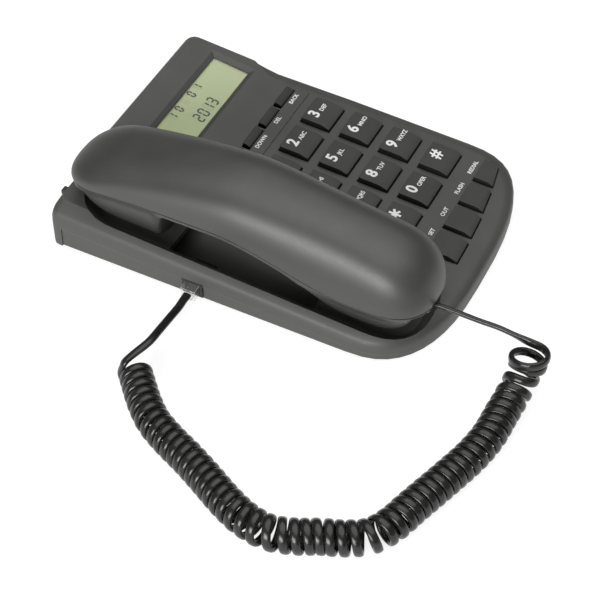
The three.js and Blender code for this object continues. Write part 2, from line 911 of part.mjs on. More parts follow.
function windowCut() {
  const ring = (grow, height) =>
    rectangle(windowLeft, windowFront, windowLength, windowDepth, grow).map(
      ([x, y]) => new THREE.Vector3(x, y, height),
    );
  const bevel = loft([
    ring(0, -windowSink),
    ring(windowBevel, 0),
    ring(windowBevel + windowBevel, windowSink),
  ]);
  const through = prism(
    rectangle(windowLeft, windowFront, windowLength, windowDepth),
    -overrun,
    -windowSink + clearance,
  );
  return onConsole(bevel.add(through));
}

function ringerSlot() {
  const halfTall = ringerKnobTall * halfShare + clearance;
  const half = ringerKnobWidth * halfShare + clearance;
  return box(
    [ringerX - half, backReach - ringerBodyInset, ringerHeight - halfTall],
    [ringerX + half + ringerStroke, backReach + overrun, ringerHeight + halfTall],
  );
}

function addUpperCase() {
  const bottomAt = (x, y) => (y < skirtFrontY ? ledgeZ(y) : skirtUnderside);
  const outer = caseForm(0, bottomAt);
  const hollow = caseForm(caseWall, () => -overrun)
    .subtract(wellForm(wellSkin, wellSkin))
    .subtract(troughForm(wellSkin, troughSkin));
  let shell = outer.subtract(hollow);
  screwPlaces.forEach((place) => {
    const top = topZ(...place) - caseWall * halfShare;
    shell = shell.add(rod(place, postRadius, postFoot, top));
  });
  shell = shell.subtract(wellForm(0, 0)).subtract(troughForm(0, 0));
  keys.forEach(([, outlineAt]) => {
    shell = shell.subtract(keyHole(outlineAt));
  });
  const groove = rectangle(deckGrooveLeft, deckGrooveY, deckGrooveLength, deckGrooveWidth);
  shell = shell.subtract(onDeck(prism(groove, -deckGrooveDepth, overrun)));
  shell = shell.subtract(windowCut()).subtract(ringerSlot());
  shell = shell.subtract(ringerRoom(clearance, 0));
  screwPlaces.forEach((place) => {
    shell = shell.subtract(rod(place, screwRadius + clearance, 0, postFoot + screwReach));
  });
  shell = shell.subtract(
    block(
      [handsetX, hookY],
      [hookWidth + clearance * 2, hookLength + clearance * 2],
      0,
      deckHeight,
    ),
  );
  shell = shell.subtract(jackRoom(clearance)).subtract(lineJackRoom(clearance));
  addPiece("upper_case", shell, casePlastic);
}

// Lower case

function bayWidths() {
  const length = cellLength + bayMargin * 2;
  const depth = cellPitch * (cellCount - 1) + cellRadius * 2 + bayMargin * 2;
  return [length, depth];
}

function bayTop() {
  return baseUnderside + doorThickness + clearance + cellRadius * 2 + bayMargin;
}

function bayBox(grow, bottom, top) {
  const [length, depth] = bayWidths();
  return box(
    [bayLeft - grow, bayFront - grow, bottom],
    [bayLeft + length + grow, bayFront + depth + grow, top],
  );
}

function addLowerCase() {
  const backY = skirtFrontY - clearance;
  const layer = (inset, heightAt) => caseLayer(caseRungs(inset, 0, backY), heightAt);
  const rimZ = (x, y) => ledgeZ(y) - clearance;
  const outer = rungLoft([
    layer(lowerInset + lowerChamfer, () => baseUnderside),
    layer(lowerInset, () => baseUnderside + lowerChamfer),
    layer(lowerInset, rimZ),
  ]);
  const floorTop = baseUnderside + floorThickness;
  const innerBack = caseRungs(lowerInset + caseWall, 0, backY + overrun);
  const hollow = rungLoft([
    caseLayer(innerBack, () => floorTop),
    caseLayer(innerBack, () => deckHeight + overrun),
  ]);
  let tray = outer.subtract(hollow);
  const tongueBack = backReach - caseWall - clearance;
  const tongueInset = caseWall + clearance + lowerInset;
  const tongue = box(
    [-leftReach + tongueInset, backY - overrun, baseUnderside],
    [rightReach - rightBow - tongueInset, tongueBack, floorTop],
  );
  tray = tray.add(tongue);
  screwPlaces.forEach((place) => {
    tray = tray.add(rod(place, screwSocketRadius, baseUnderside, postFoot - clearance));
  });
  boardPostPlaces.forEach((place) => {
    const top = boardUndersideZ(place[1]) - clearance;
    tray = tray.add(rod(place, boardPostRadius, baseUnderside, top, coarseSides));
  });
  tray = tray.add(bayBox(bayWall, baseUnderside, bayTop() + bayWall));
  tray = tray.subtract(bayBox(0, 0, bayTop()));
  const doorSeat = baseUnderside + doorThickness + clearance;
  tray = tray.subtract(bayBox(doorLip * halfShare, 0, doorSeat));
  screwPlaces.forEach((place) => {
    const seat = baseUnderside + screwSink + screwHeadHeight + clearance;
    tray = tray.subtract(rod(place, screwHeadRadius + clearance, 0, seat));
    tray = tray.subtract(rod(place, screwRadius + clearance, 0, postFoot));
    const post = rod(place, postRadius + clearance, postFoot - clearance, deckHeight);
    tray = tray.subtract(post);
  });
  footPlaces.forEach((place) => {
    const top = baseUnderside + footRecess;
    tray = tray.subtract(rod(place, footRadius + clearance, 0, top, fineSides));
  });
  tray = tray.subtract(jackRoom(clearance)).subtract(lineJackRoom(clearance));
  addPiece("lower_case", tray, casePlastic);
}

function addFeet() {
  footPlaces.forEach((place, index) => {
    const foot = rod(place, footRadius, 0, footHeight, fineSides);
    addPiece("foot_" + screwNames[index], foot, footRubber);
  });
}

// A screw with its head down and a slot across it.
function screwSolid(place, headZ, length) {
  const headTop = headZ + screwHeadHeight;
  const head = rod(place, screwHeadRadius, headZ, headTop);
  const shank = rod(place, screwRadius, headTop - clearance, headZ + length, coarseSides);
  const slotSize = [screwHeadRadius + overrun, screwRadius * halfShare];
  const slot = block(place, slotSize, 0, headZ + screwHeadHeight * halfShare);
  return head.add(shank).subtract(slot);
}

function addCaseScrews() {
  screwPlaces.forEach((place, index) => {
    const headZ = baseUnderside + screwSink;
    const length = postFoot + screwReach - clearance - headZ;
    addPiece("case_screw_" + screwNames[index], screwSolid(place, headZ, length), screwSteel);
  });
}

function addBatteries() {
  const [, depth] = bayWidths();
  const lip = doorLip * halfShare - clearance;
  const door = bayBox(lip, baseUnderside, baseUnderside + doorThickness);
  const notch = block(
    [bayLeft + cellLength * halfShare, bayFront + depth],
    [cellRadius, cellRadius],
    0,
    baseUnderside + doorThickness * halfShare,
  );
  addPiece("battery_door", door.subtract(notch), casePlastic);
  const height = baseUnderside + doorThickness + clearance + cellRadius;
  for (let k = 0; k < cellCount; k++) {
    const barrel = new THREE.CylinderGeometry(cellRadius, cellRadius, cellLength, plainSides);
    barrel.rotateZ(Math.PI / 2);
    const y = bayFront + bayMargin + cellRadius + k * cellPitch;
    barrel.translate(bayLeft + bayMargin + cellLength * halfShare, y, height);
    addPiece("battery_cell_" + (k + 1), solidOf(barrel), cellSteel);
  }
}

// Board, key mat, display and buzzer

// Heights in the deck's own level frame, counted from the deck's surface.
const matTop = -keyStem - keyTravel - clearance;
const boardTop = matTop - matThickness - clearance;
const boardBottom = boardTop - boardThickness;

function boardUndersideZ(y) {
  return deckZ(y) + boardBottom * Math.sqrt(1 + deckSlopeShare ** 2);
}

function postRooms() {
  return join(screwPlaces.map((place) => rod(place, postRadius + clearance, 0, deckHeight * 2)));
}

function addBoardAndMat() {
  const room = caseForm(caseWall + lowerInset + boardInset * halfShare, () => 0);
  let board = onDeck(
    box([boardLeft, boardFront, boardBottom], [boardLeft + boardLength, boardBack, boardTop]),
  );
  let mat = onDeck(
    box(
      [boardLeft, matFront, boardTop + clearance],
      [boardLeft + boardLength, boardBack - boardInset, matTop],
    ),
  );
  board = board.intersect(room);
  mat = mat.intersect(room);
  board = board.subtract(postRooms());
  mat = mat.subtract(postRooms());
  addPiece("main_board", board, boardLaminate);
  addPiece("keypad_mat", mat, matRubber);
}

function addDisplay() {
  const lensTop = -windowSink - clearance * halfShare;
  const lens = prism(
    rectangle(windowLeft, windowFront, windowLength, windowDepth, -clearance),
    lensTop - lensThickness,
    lensTop,
  );
  addPiece("display_window", onConsole(lens), lensPlastic);
  const lcdTop = -caseWall - clearance;
  const lcd = prism(
    rectangle(windowLeft, windowFront, windowLength, windowDepth, lcdMargin),
    lcdTop - lcdThickness,
    lcdTop,
  );
  const panel = onConsole(lcd).intersect(caseRoom).subtract(postRooms());
  addPiece("lcd_module", panel, displayGlass);
}

function addBuzzer() {
  const bottom = baseUnderside + floorThickness + clearance;
  const top = bottom + buzzerHeight;
  const body = rod(buzzerPlace, buzzerRadius, bottom, top, fineSides);
  const mouth = rod(buzzerPlace, screwRadius, top - screwHeadHeight, top + overrun, coarseSides);
  addPiece("ringer_buzzer", body.subtract(mouth), socketPlastic);
}

// Jacks, plugs and switches

function addJacks() {
  const half = socketWidth * halfShare;
  const halfTall = socketTall * halfShare;
  const socket = box(
    [-leftReach - overrun, jackY - half, jackHeight - halfTall],
    [-leftReach + socketDepth, jackY + half, jackHeight + halfTall],
  );
  addPiece("handset_jack", jackRoom(0).subtract(socket), socketPlastic);
  const lineHalf = lineSocketWidth * halfShare;
  const lineMiddle = lineJackFoot + lineJackTall * halfShare;
  const lineHalfTall = lineSocketTall * halfShare;
  const lineSocket = box(
    [lineJackX - lineHalf, backReach - lineSocketDepth, lineMiddle - lineHalfTall],
    [lineJackX + lineHalf, backReach + overrun, lineMiddle + lineHalfTall],
  );
  addPiece("line_jack", lineJackRoom(0).subtract(lineSocket), socketPlastic);
}

// A small clear plug that points along +X, with its cord end at the origin.
function plugSolid(proud) {
  const half = plugWidth * halfShare;
  const halfTall = plugTall * halfShare;
  const body = box([0, -half, -halfTall], [proud + plugInside, half, halfTall]);
  const halfLatch = latchWidth * halfShare;
  const latch = box(
    [proud - latchReach, -halfLatch, -halfTall - latchDrop],
    [proud - clearance, halfLatch, -halfTall - latchDrop + latchThickness],
  );
  const root = box(
    [proud - latchThickness - clearance, -halfLatch, -halfTall - latchDrop],
    [proud - clearance, halfLatch, clearance - halfTall],
  );
  return body.add(latch).add(root);
}

function addBasePlug() {
  const geometry = geometryOf(plugSolid(plugProud));
  geometry.translate(-leftReach - plugProud, jackY, jackHeight);
  addPiece("base_plug", solidOf(geometry), plugPlastic);
}

// The room of the ringer switch's body, grown by a clearance or not, from a given foot.
function ringerRoom(grow, foot) {
  const middle = ringerX + ringerStroke * halfShare;
  const half = ringerBodyWidth * halfShare + grow;
  const back = backReach - ringerBodyInset;
  return box(
    [middle - half, back - ringerBodyDepth - grow, foot],
    [middle + half, back + grow, ringerBodyTop + grow],
  );
}

function addRingerSwitch() {
  const slotHalf = ringerKnobTall * halfShare;
  const knobHalf = ringerKnobWidth * halfShare;
  const reach = backReach - ringerBodyInset - ringerKnobReach;
  const slot = box(
    [ringerX - knobHalf - clearance, reach - clearance, ringerHeight - slotHalf - clearance],
    [
      ringerX + knobHalf + ringerStroke + clearance,
      backReach,
      ringerHeight + slotHalf + clearance,
    ],
  );
  const body = ringerRoom(0, ringerBodyFoot).subtract(slot);
  addPiece("ringer_switch", body, socketPlastic);
  const knob = box(
    [ringerX - knobHalf, reach, ringerHeight - slotHalf],
    [ringerX + knobHalf, backReach + ringerKnobProud, ringerHeight + slotHalf],
  );
  addPiece("ringer_knob", knob, keyPlastic);
}

function addHook() {
  const place = [handsetX, hookY];
  const top = podBottomZ(hookY - hookLength * halfShare) - clearance;
  const stem = block(place, [hookWidth, hookLength], hookFoot, top);
  const flangeSize = [hookWidth + hookFlange * 2, hookLength + hookFlange * 2];
  const flange = block(place, flangeSize, hookFoot, hookFoot + hookFlangeHeight);
  addPiece("hook_plunger", stem.add(flange), keyPlastic);
  const bottom = baseUnderside + floorThickness + clearance;
  const body = block(place, [hookSwitchWidth, hookSwitchLength], bottom, hookSwitchTop);
  addPiece("hook_switch", body, socketPlastic);
}

// Handset

function crownZ(y) {
  const away = y - crownPeakY;
  if (away > 0) return crownPeak - crownBackFall * (away / crownBackSpan) ** crownBackPower;
  return crownPeak - crownFrontFall * (-away / crownFrontSpan) ** crownFrontPower;
}

function seamZ(y) {
  const rise = smooth((y - seamRiseFrontY) / seamRiseLength);
  const past = Math.max(y - seamEarY, 0) / seamEarSpan;
  return seamMouth + (seamGrip - seamMouth) * rise - seamEarFall * past ** 2;
}

// The plane that the two pods' undersides lie on, just above the cradle's floor.
function podBottomZ(y) {
  return deckZ(y) - wellDepth * Math.sqrt(1 + deckSlopeShare ** 2) + podLift;
}

function endShare(y, inset) {
  const front = handsetFrontY + inset;
  const back = handsetBackY - inset;
  const past = Math.max(front + handsetEndLength - y, y - back + handsetEndLength, 0);
  return cornerReach(past, 1, handsetEndLength, handsetEndPower);
}

// How far a station belongs to a pod rather than to the grip.
function podShare(y) {
  const ear = smooth((y - earPodFrontY) / earPodBlend);
  const mouth = smooth((mouthPodBackY - y) / mouthPodBlend);
  return Math.max(ear, mouth);
}

// The places along the handset at which its sections lie, closer at its ends and pods.
function handsetPlaces(inset) {
  const front = handsetFrontY + inset + handsetEndLength;
  const back = handsetBackY - inset - handsetEndLength;
  const places = [];
  for (let k = 0; k < endSteps; k++) {
    const turn = (Math.PI / 2) * ((k + halfShare * halfShare) / endSteps);
    places.push(front - handsetEndLength * Math.cos(turn));
    places.push(back + handsetEndLength * Math.cos(turn));
  }
  for (let k = 0; k <= podSteps; k++) {
    places.push(earPodFrontY + (earPodBlend * k) / podSteps);
    places.push(mouthPodBackY - (mouthPodBlend * k) / podSteps);
  }
  for (let k = 1; k < gripSteps; k++) {
    places.push(mouthPodBackY + ((earPodFrontY - mouthPodBackY) * k) / gripSteps);
  }
  return places.sort((a, b) => a - b);
}

function superPoint(turn, reach, rise, power) {
  const [c, s] = [Math.cos(turn), Math.sin(turn)];
  return [Math.sign(c) * Math.abs(c) ** (2 / power) * reach, s ** (2 / power) * rise];
}

function topShellForm(inset) {
  return loft(
    handsetPlaces(inset).map((y) => {
      const end = endShare(y, inset);
      const reach = (handsetHalfWidth - inset) * end;
      const seam = seamZ(y) - (inset > 0 ? overrun : 0);
      const rise = (crownZ(y) - inset - seamZ(y)) * end;
      const ring = [];
      for (let k = 0; k <= archSteps; k++) {
        const turn = (Math.PI * k) / archSteps;
        const [x, z] = superPoint(turn, reach, rise, archPower);
        ring.push(new THREE.Vector3(handsetX + x, y, seamZ(y) + z));
      }
      ring.push(new THREE.Vector3(handsetX - reach, y, seam - clearance * halfShare));
      ring.push(new THREE.Vector3(handsetX + reach, y, seam - clearance * halfShare));
      return ring;
    }),
  );
}

function bottomShellForm(inset) {
  return loft(
    handsetPlaces(inset).map((y) => {
      const end = endShare(y, inset);
      const pod = podShare(y);
      const reach = (handsetHalfWidth - inset) * end;
      const top = seamZ(y) - clearance;
      const gripZ = seamZ(y) - gripDepth;
      const soleZ = gripZ + (podBottomZ(y) - gripZ) * pod + inset;
      const podEnd = endShare(y, inset + podEndInset);
      const fall = podLip * end + (top - soleZ - podLip) * podEnd;
      const power = gripPower + (podPower - gripPower) * pod;
      const ring = [];
      for (let k = 0; k <= archSteps; k++) {
        const turn = (Math.PI * k) / archSteps;
        const [x, z] = superPoint(turn, reach, fall, power);
        const narrow = 1 - ((podNarrow * pod) / handsetHalfWidth) * Math.sin(turn);
        ring.push(new THREE.Vector3(handsetX + x * narrow, y, top - z));
      }
      const rim = top + (inset > 0 ? overrun : clearance * halfShare);
      ring.push(new THREE.Vector3(handsetX - reach, y, rim));
      ring.push(new THREE.Vector3(handsetX + reach, y, rim));
      return ring;
    }),
  );
}

function soundHoles(y, count) {
  const holes = [];
  const bottom = podBottomZ(y) - overrun;
  const top = podBottomZ(y) + shellWall + overrun;
  for (let k = 0; k < count; k++) {
    const turn = (2 * Math.PI * k) / count;
    const place = [
      handsetX + soundHoleRing * Math.cos(turn),
      y + soundHoleRing * Math.sin(turn),
    ];
    holes.push(rod(place, soundHoleRadius, bottom, top, soundHoleSides));
  }
  return join(holes);
}

function handsetJackRoom(grow) {
  const half = jackWidth * halfShare + grow;
  const halfTall = jackTall * halfShare + grow;
  return box(
    [handsetJackX - half, handsetJackFront - grow * frontReach, handsetJackHeight - halfTall],
    [handsetJackX + half, handsetJackFront + handsetJackDepth + grow, handsetJackHeight + halfTall],
  );
}

function addHandset() {
  const hollowTop = topShellForm(shellWall);
  const outerTop = topShellForm(0);
  const top = outerTop.subtract(hollowTop).subtract(handsetJackRoom(clearance));
  addPiece("handset_top_shell", top, handsetPlastic);
  let bottom = bottomShellForm(0).subtract(bottomShellForm(shellWall));
  handsetScrewPlaces.forEach((y) => {
    const foot = podBottomZ(y) + shellWall * halfShare;
    const post = rod([handsetX, y], screwSocketRadius, foot, seamZ(y) - gripDepth);
    bottom = bottom.add(post);
    const seat = podBottomZ(y) + screwHeadHeight * 2;
    bottom = bottom.subtract(rod([handsetX, y], screwHeadRadius + clearance, 0, seat));
    const reach = seamZ(y) + clearance;
    bottom = bottom.subtract(rod([handsetX, y], screwRadius + clearance, 0, reach));
  });
  bottom = bottom.subtract(soundHoles(speakerY + speakerRadius * halfShare, earHoleCount));
  bottom = bottom.subtract(soundHoles(microphoneY - microphoneRadius, mouthHoleCount));
  bottom = bottom.subtract(handsetJackRoom(clearance));
  addPiece("handset_bottom_shell", bottom, handsetPlastic);
}

// The things that the handset holds.
function addHandsetParts() {
  const speakerFoot = podBottomZ(speakerY) + shellWall + speakerSeat;
  const speakerTop = speakerFoot + speakerHeight;
  const cone = rod([handsetX, speakerY], speakerRadius, speakerFoot, speakerTop, fineSides);
  const dish = rod(
    [handsetX, speakerY],
    speakerRadius - shellWall,
    speakerFoot - overrun,
    speakerFoot + shellWall * halfShare,
    fineSides,
  );
  addPiece("earpiece_speaker", cone.subtract(dish), speakerPaper);
  const microphoneFoot = podBottomZ(microphoneY) + shellWall + microphoneSeat;
  const microphone = rod(
    [handsetX, microphoneY],
    microphoneRadius,
    microphoneFoot,
    microphoneFoot + microphoneHeight,
  );
  addPiece("microphone", microphone, speakerPaper);
  const half = socketWidth * halfShare;
  const halfTall = socketTall * halfShare;
  const socket = box(
    [handsetJackX - half, handsetFrontY - overrun, handsetJackHeight - halfTall],
    [handsetJackX + half, handsetJackFront + socketDepth, handsetJackHeight + halfTall],
  );
  addPiece("handset_socket", handsetJackRoom(0).subtract(socket), socketPlastic);
  handsetScrewPlaces.forEach((y, index) => {
    const headZ = podBottomZ(y) + screwSink;
    const length = seamZ(y) - headZ - clearance;
    const screw = screwSolid([handsetX, y], headZ, length);
    addPiece("handset_screw_" + handsetScrewNames[index], screw, screwSteel);
  });
  const plug = geometryOf(plugSolid(plugProud));
  plug.rotateZ(Math.PI / 2);
  plug.translate(handsetJackX, handsetJackFront - plugProud, handsetJackHeight);
  addPiece("handset_plug", solidOf(plug), plugPlastic);
}

// Curly cord

// The coil's axis with a frame that turns as little as it can along it.
function coilAxis() {
  const points = coilRoute.map((place) => new THREE.Vector3(...place));
  const curve = new THREE.CatmullRomCurve3(points, false, "centripetal");
  curve.arcLengthDivisions = coilSamples;
  const length = curve.getLength();
  const frames = curve.computeFrenetFrames(coilSamples);
  const places = curve.getSpacedPoints(coilSamples);
  return { length, frames, places };
}

// How close the curls may lie at each sample: wider apart on the inside of a bend.
function curlDensities({ length, frames }) {
  const reach = Math.round((coilBendReach / length) * coilSamples);
  return frames.tangents.map((_, k) => {
    const [first, last] = [Math.max(k - reach, 0), Math.min(k + reach, coilSamples)];
    const angle = frames.tangents[first].angleTo(frames.tangents[last]);
    const bend = angle / (((last - first) / coilSamples) * length);
    return 1 - coilBendShare * coilRadius * bend;
  });
}

// The turn at a sample for which the lead, wound right-handed, heads in a direction.
function turnHeading({ frames }, k, direction) {
  const out = new THREE.Vector3(...direction).cross(frames.tangents[k]);
  return Math.atan2(out.dot(frames.binormals[k]), out.dot(frames.normals[k]));
}

// The turn of the lead round the axis at each sample.
function curlTurns(axis) {
  const densities = curlDensities(axis);
  const sums = [0];
  densities.slice(1).forEach((density, k) => {
    sums.push(sums[k] + (density + densities[k]) * halfShare);
  });
  const start = turnHeading(axis, 0, baseLeave.map((value) => -value));
  const end = turnHeading(axis, coilSamples, handsetLeave);
  const total = 2 * Math.PI * curlCount + end - start;
  return sums.map((sum) => start + (sum / sums[coilSamples]) * total);
}

// The coil's radius at a sample: the last curls are a little relaxed.
function curlRadius({ length }, k) {
  const left = (1 - k / coilSamples) * length;
  return coilRadius + coilFlare * (1 - smooth(left / coilFlareLength));
}

// The lead's centreline and its outward direction at one sample.
function leadAt(axis, turns, k) {
  const { frames, places } = axis;
  const out = frames.normals[k].clone().multiplyScalar(Math.cos(turns[k]));
  out.addScaledVector(frames.binormals[k], Math.sin(turns[k]));
  return { out, centre: places[k].clone().addScaledVector(out, curlRadius(axis, k)) };
}

// The samples at which the coil's sections lie: a curl has a fixed number of steps.
function curlSamples(turns) {
  const step = (2 * Math.PI) / curlSteps;
  const samples = [0];
  turns.forEach((turn, k) => {
    const reached = turn - turns[0] >= samples.length * step;
    if (reached && turns[coilSamples] - turn > step * halfShare) samples.push(k);
  });
  samples.push(coilSamples);
  return samples;
}

// One five-sided section of the flat lead.
function leadSection({ centre, out }, along) {
  const wide = along.clone().cross(out).normalize();
  const thick = wide.clone().cross(along).normalize();
  const ring = [];
  for (let side = 0; side < curlSides; side++) {
    const turn = (2 * Math.PI * side) / curlSides;
    const point = centre.clone().addScaledVector(thick, leadHalfThickness * Math.cos(turn));
    ring.push(point.addScaledVector(wide, leadHalfWidth * Math.sin(turn)));
  }
  return ring;
}

// The least distance between points of the coil's surface that are half a curl or more
// apart along the lead.
function leastGap(rings) {
  const points = rings.map((ring, k) => {
    if (k === 0) return ring;
    const middles = ring.map((point, side) => point.clone().lerp(rings[k - 1][side], halfShare));
    return ring.concat(middles);
  });
  let least = Infinity;
  points.forEach((near, k) => {
    points.slice(k + curlSteps * halfShare, k + curlSteps * gapCurlReach).forEach((far) => {
      near.forEach((a) => far.forEach((b) => (least = Math.min(least, a.distanceTo(b)))));
    });
  });
  return least;
}

// The coil's sections from the base's end to the handset's end, both ends straight.
function coilRings() {
  const axis = coilAxis();
  const turns = curlTurns(axis);
  const samples = curlSamples(turns);
  const leads = samples.map((k) => leadAt(axis, turns, k));
  const heading = (from, to) =>
    leadAt(axis, turns, to).centre.sub(leadAt(axis, turns, from).centre).normalize();
  const startAlong = heading(0, 1);
  const endAlong = heading(coilSamples - 1, coilSamples);
  const rings = leads.map((lead, k) => {
    if (k === 0) return leadSection(lead, startAlong);
    if (k === leads.length - 1) return leadSection(lead, endAlong);
    return leadSection(lead, leads[k + 1].centre.clone().sub(leads[k - 1].centre).normalize());
  });
  const run = leadHalfWidth * 2;
  const startPoint = leads[0].centre.clone().addScaledVector(startAlong, -run);
  rings.unshift(leadSection({ centre: startPoint, out: leads[0].out }, startAlong));
  const last = leads[leads.length - 1];
  const endPoint = last.centre.clone().addScaledVector(endAlong, run);
  rings.push(leadSection({ centre: endPoint, out: last.out }, endAlong));
  const start = { point: startPoint, along: startAlong.clone().negate() };
  return { rings, start, end: { point: endPoint, along: endAlong } };
}

// A free stretch of the flat lead through chosen points, wide in a direction across it.
function tailSolid(points, direction) {
  const curve = new THREE.CatmullRomCurve3(points, false, "centripetal");
  const steps = Math.round(curve.getLength() / tailStep);
  const { normals, binormals } = curve.computeFrenetFrames(steps);
  const across = new THREE.Vector3(...direction);
  const turned = Math.atan2(-across.dot(normals[0]), across.dot(binormals[0]));
  const outline = [];
  for (let side = 0; side < tailSides; side++) {
    const turn = (2 * Math.PI * (side + halfShare)) / tailSides;
    const [height, width] = [Math.cos(turn) * tailHalfThickness, Math.sin(turn) * tailHalfWidth];
    outline.push(new THREE.Vector2(height, width).rotateAround(new THREE.Vector2(), turned));
  }
  const section = new THREE.Shape(outline);
  return solidOf(new THREE.ExtrudeGeometry(section, { steps, extrudePath: curve }));
}

// The points of a free stretch from a plug's face through its route to the coil's end.
function tailPoints(plugFace, plugAlong, route, coilEnd) {
  const face = coilEnd.point.clone().addScaledVector(coilEnd.along, clearance);
  const run = face.clone().addScaledVector(coilEnd.along, leadHalfWidth * 2);
  const plugRun = plugFace.clone().addScaledVector(plugAlong, leadHalfWidth * 2);
  return [plugFace, plugRun, ...vectors(route), run, face];
}

function addCord() {
  const { rings, start, end } = coilRings();
  addPiece("cord_coil", loft(rings), leadPlastic);
  console.log("least gap of the coil to itself " + leastGap(rings).toFixed(2) + " mm");
  const baseFace = new THREE.Vector3(-leftReach - plugProud - clearance, jackY, jackHeight);
  const outward = new THREE.Vector3(-1, 0, 0);
  const basePoints = tailPoints(baseFace, outward, baseTailRoute, start);
  addPiece("cord_base_tail", tailSolid(basePoints, baseTailAcross), leadPlastic);
  const handsetFace = new THREE.Vector3(
    handsetJackX,
    handsetJackFront - plugProud - clearance,
    handsetJackHeight,
  );
  const forward = new THREE.Vector3(0, -1, 0);
  const handsetPoints = tailPoints(handsetFace, forward, handsetTailRoute, end);
  addPiece("cord_handset_tail", tailSolid(handsetPoints, handsetTailAcross), leadPlastic);
}

function vectors(route) {
  return route.map((place) => new THREE.Vector3(...place));
}

addUpperCase();
addLowerCase();
addFeet();
addCaseScrews();
addBatteries();
addBoardAndMat();
addDisplay();
addBuzzer();
addJacks();
addBasePlug();
addRingerSwitch();
addHook();
addKeys();
addHandset();
addHandsetParts();
addCord();

// The telephone stands centred on the origin, without its cord.
const middleX = (rightReach - leftReach) * halfShare;
const middleY = (backReach + ringerKnobProud - frontReach) * halfShare;
phone.position.set(-middleX, -middleY, 0);

export default phone;
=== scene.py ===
"""Dresses the corded telephone: its case, keys, display, handset, plugs and curly cord."""

import logging
import math
from dataclasses import dataclass, replace
from enum import Enum
from typing import Callable, Iterable, Sequence

import bmesh
import bpy
from mathutils import Matrix, Vector


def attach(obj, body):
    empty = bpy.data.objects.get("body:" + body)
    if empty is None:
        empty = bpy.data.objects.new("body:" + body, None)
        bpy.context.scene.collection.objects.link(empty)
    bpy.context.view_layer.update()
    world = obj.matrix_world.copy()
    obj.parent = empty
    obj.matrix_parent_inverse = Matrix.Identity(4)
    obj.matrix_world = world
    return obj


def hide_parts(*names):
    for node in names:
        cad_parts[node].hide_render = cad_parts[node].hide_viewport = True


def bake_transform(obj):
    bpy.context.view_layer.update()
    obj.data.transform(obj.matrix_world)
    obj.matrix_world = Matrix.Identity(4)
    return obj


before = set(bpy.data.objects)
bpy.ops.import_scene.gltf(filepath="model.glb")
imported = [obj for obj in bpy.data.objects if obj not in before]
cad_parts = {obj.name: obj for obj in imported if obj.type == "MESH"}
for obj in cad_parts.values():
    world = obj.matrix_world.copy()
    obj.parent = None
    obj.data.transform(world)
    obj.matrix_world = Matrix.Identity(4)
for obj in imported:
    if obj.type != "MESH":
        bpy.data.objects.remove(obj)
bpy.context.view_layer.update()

log = logging.getLogger("telephone")

MM = 0.001
# The drawing's origin in the part's frame, in millimetres
DRAWING_SHIFT = Vector((-2.75, -1.9, 0.0))

# How near points are joined, in metres: in copied nodes, in drawn skins and along cuts
COPY_WELD = 2e-6
SKIN_WELD = 1e-6
CUT_WELD = 1e-7
# The most in degrees that two faces of a copied node lean apart and still become one
FLAT_ANGLE = 0.6
# The least angle in degrees of an edge that gets a round
SHARP_ANGLE = 40.0
# How far past an opening the skin is cut for it, in metres
ROUND_MARGIN = 4 * MM
BOX_MARGIN = 6 * MM

Ring = list[Vector]
Rgb = tuple[int, int, int]
Span = tuple[float, float]
Place = tuple[float, float, float]


# Places and heights


def at(x: float, y: float, z: float) -> Vector:
    """Turn a place of the drawing into the part's frame.

    Args:
        x: millimetres to the right of the drawing's origin.
        y: millimetres behind it.
        z: millimetres above the table.

    Returns:
        The same place in metres.
    """
    return (Vector((x, y, z)) + DRAWING_SHIFT) * MM


def smooth(value: float) -> float:
    """Ease a share from 0 to 1, flat at both ends."""
    share = min(max(value, 0.0), 1.0)
    return share * share * (3 - 2 * share)


def signed_power(value: float, power: float) -> float:
    """Raise the size of a number to a power and keep its sign."""
    return math.copysign(abs(value) ** power, value)


@dataclass(frozen=True)
class Slope:
    """A plane that rises towards the back, such as the deck of keys.

    Attributes:
        foot_y: the place along the telephone that the plane is drawn from.
        foot_z: the plane's height there.
        rise: how far it climbs per millimetre.
    """

    foot_y: float
    foot_z: float
    rise: float

    def height(self, y: float) -> float:
        """Return the plane's height in millimetres above the table at a place along it."""
        return self.foot_z + self.rise * (y - self.foot_y)

    def matrix(self) -> Matrix:
        """Reckon how a flat drawing is laid on the plane.

        Returns:
            The turn and move, from millimetres to metres.
        """
        turn = Matrix.Rotation(math.atan(self.rise), 4, "X")
        move = Matrix.Translation(Vector((0, self.foot_y, self.foot_z)) + DRAWING_SHIFT)
        return Matrix.Scale(MM, 4) @ move @ turn


DECK = Slope(0.0, 18.6, 0.0594)
CONSOLE = Slope(47.0, DECK.height(47.0), 0.1516)


# Mesh work


def finished(
    name: str, bm: bmesh.types.BMesh, finish: bpy.types.Material, smooth_angle: float = 32.0
) -> bpy.types.Object:
    """Make an object of a mesh that is done, smooth up to an angle.

    Args:
        name: the piece's name.
        bm: its mesh in metres in the part's frame, which is freed.
        finish: the material that it wears.
        smooth_angle: the least angle in degrees that shows as an edge.

    Returns:
        The new object, at the origin.
    """
    limit = math.radians(smooth_angle)
    for face in bm.faces:
        face.smooth = True
    for edge in bm.edges:
        edge.smooth = len(edge.link_faces) == 2 and edge.calc_face_angle(0.0) < limit
    mesh = bpy.data.meshes.new(name)
    bm.to_mesh(mesh)
    bm.free()
    mesh.materials.append(finish)
    piece = bpy.data.objects.new(name, mesh)
    bpy.context.scene.collection.objects.link(piece)
    return piece


def settled(
    piece: bpy.types.Object, body: str, replaced: Sequence[str] = ()
) -> bpy.types.Object:
    """Say what a piece moves with and what it stands for.

    Args:
        piece: the finished piece.
        body: the body that carries it.
        replaced: the nodes of the part that it is shown instead of.

    Returns:
        The same piece.
    """
    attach(piece, body)
    if replaced:
        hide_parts(*replaced)
    return piece


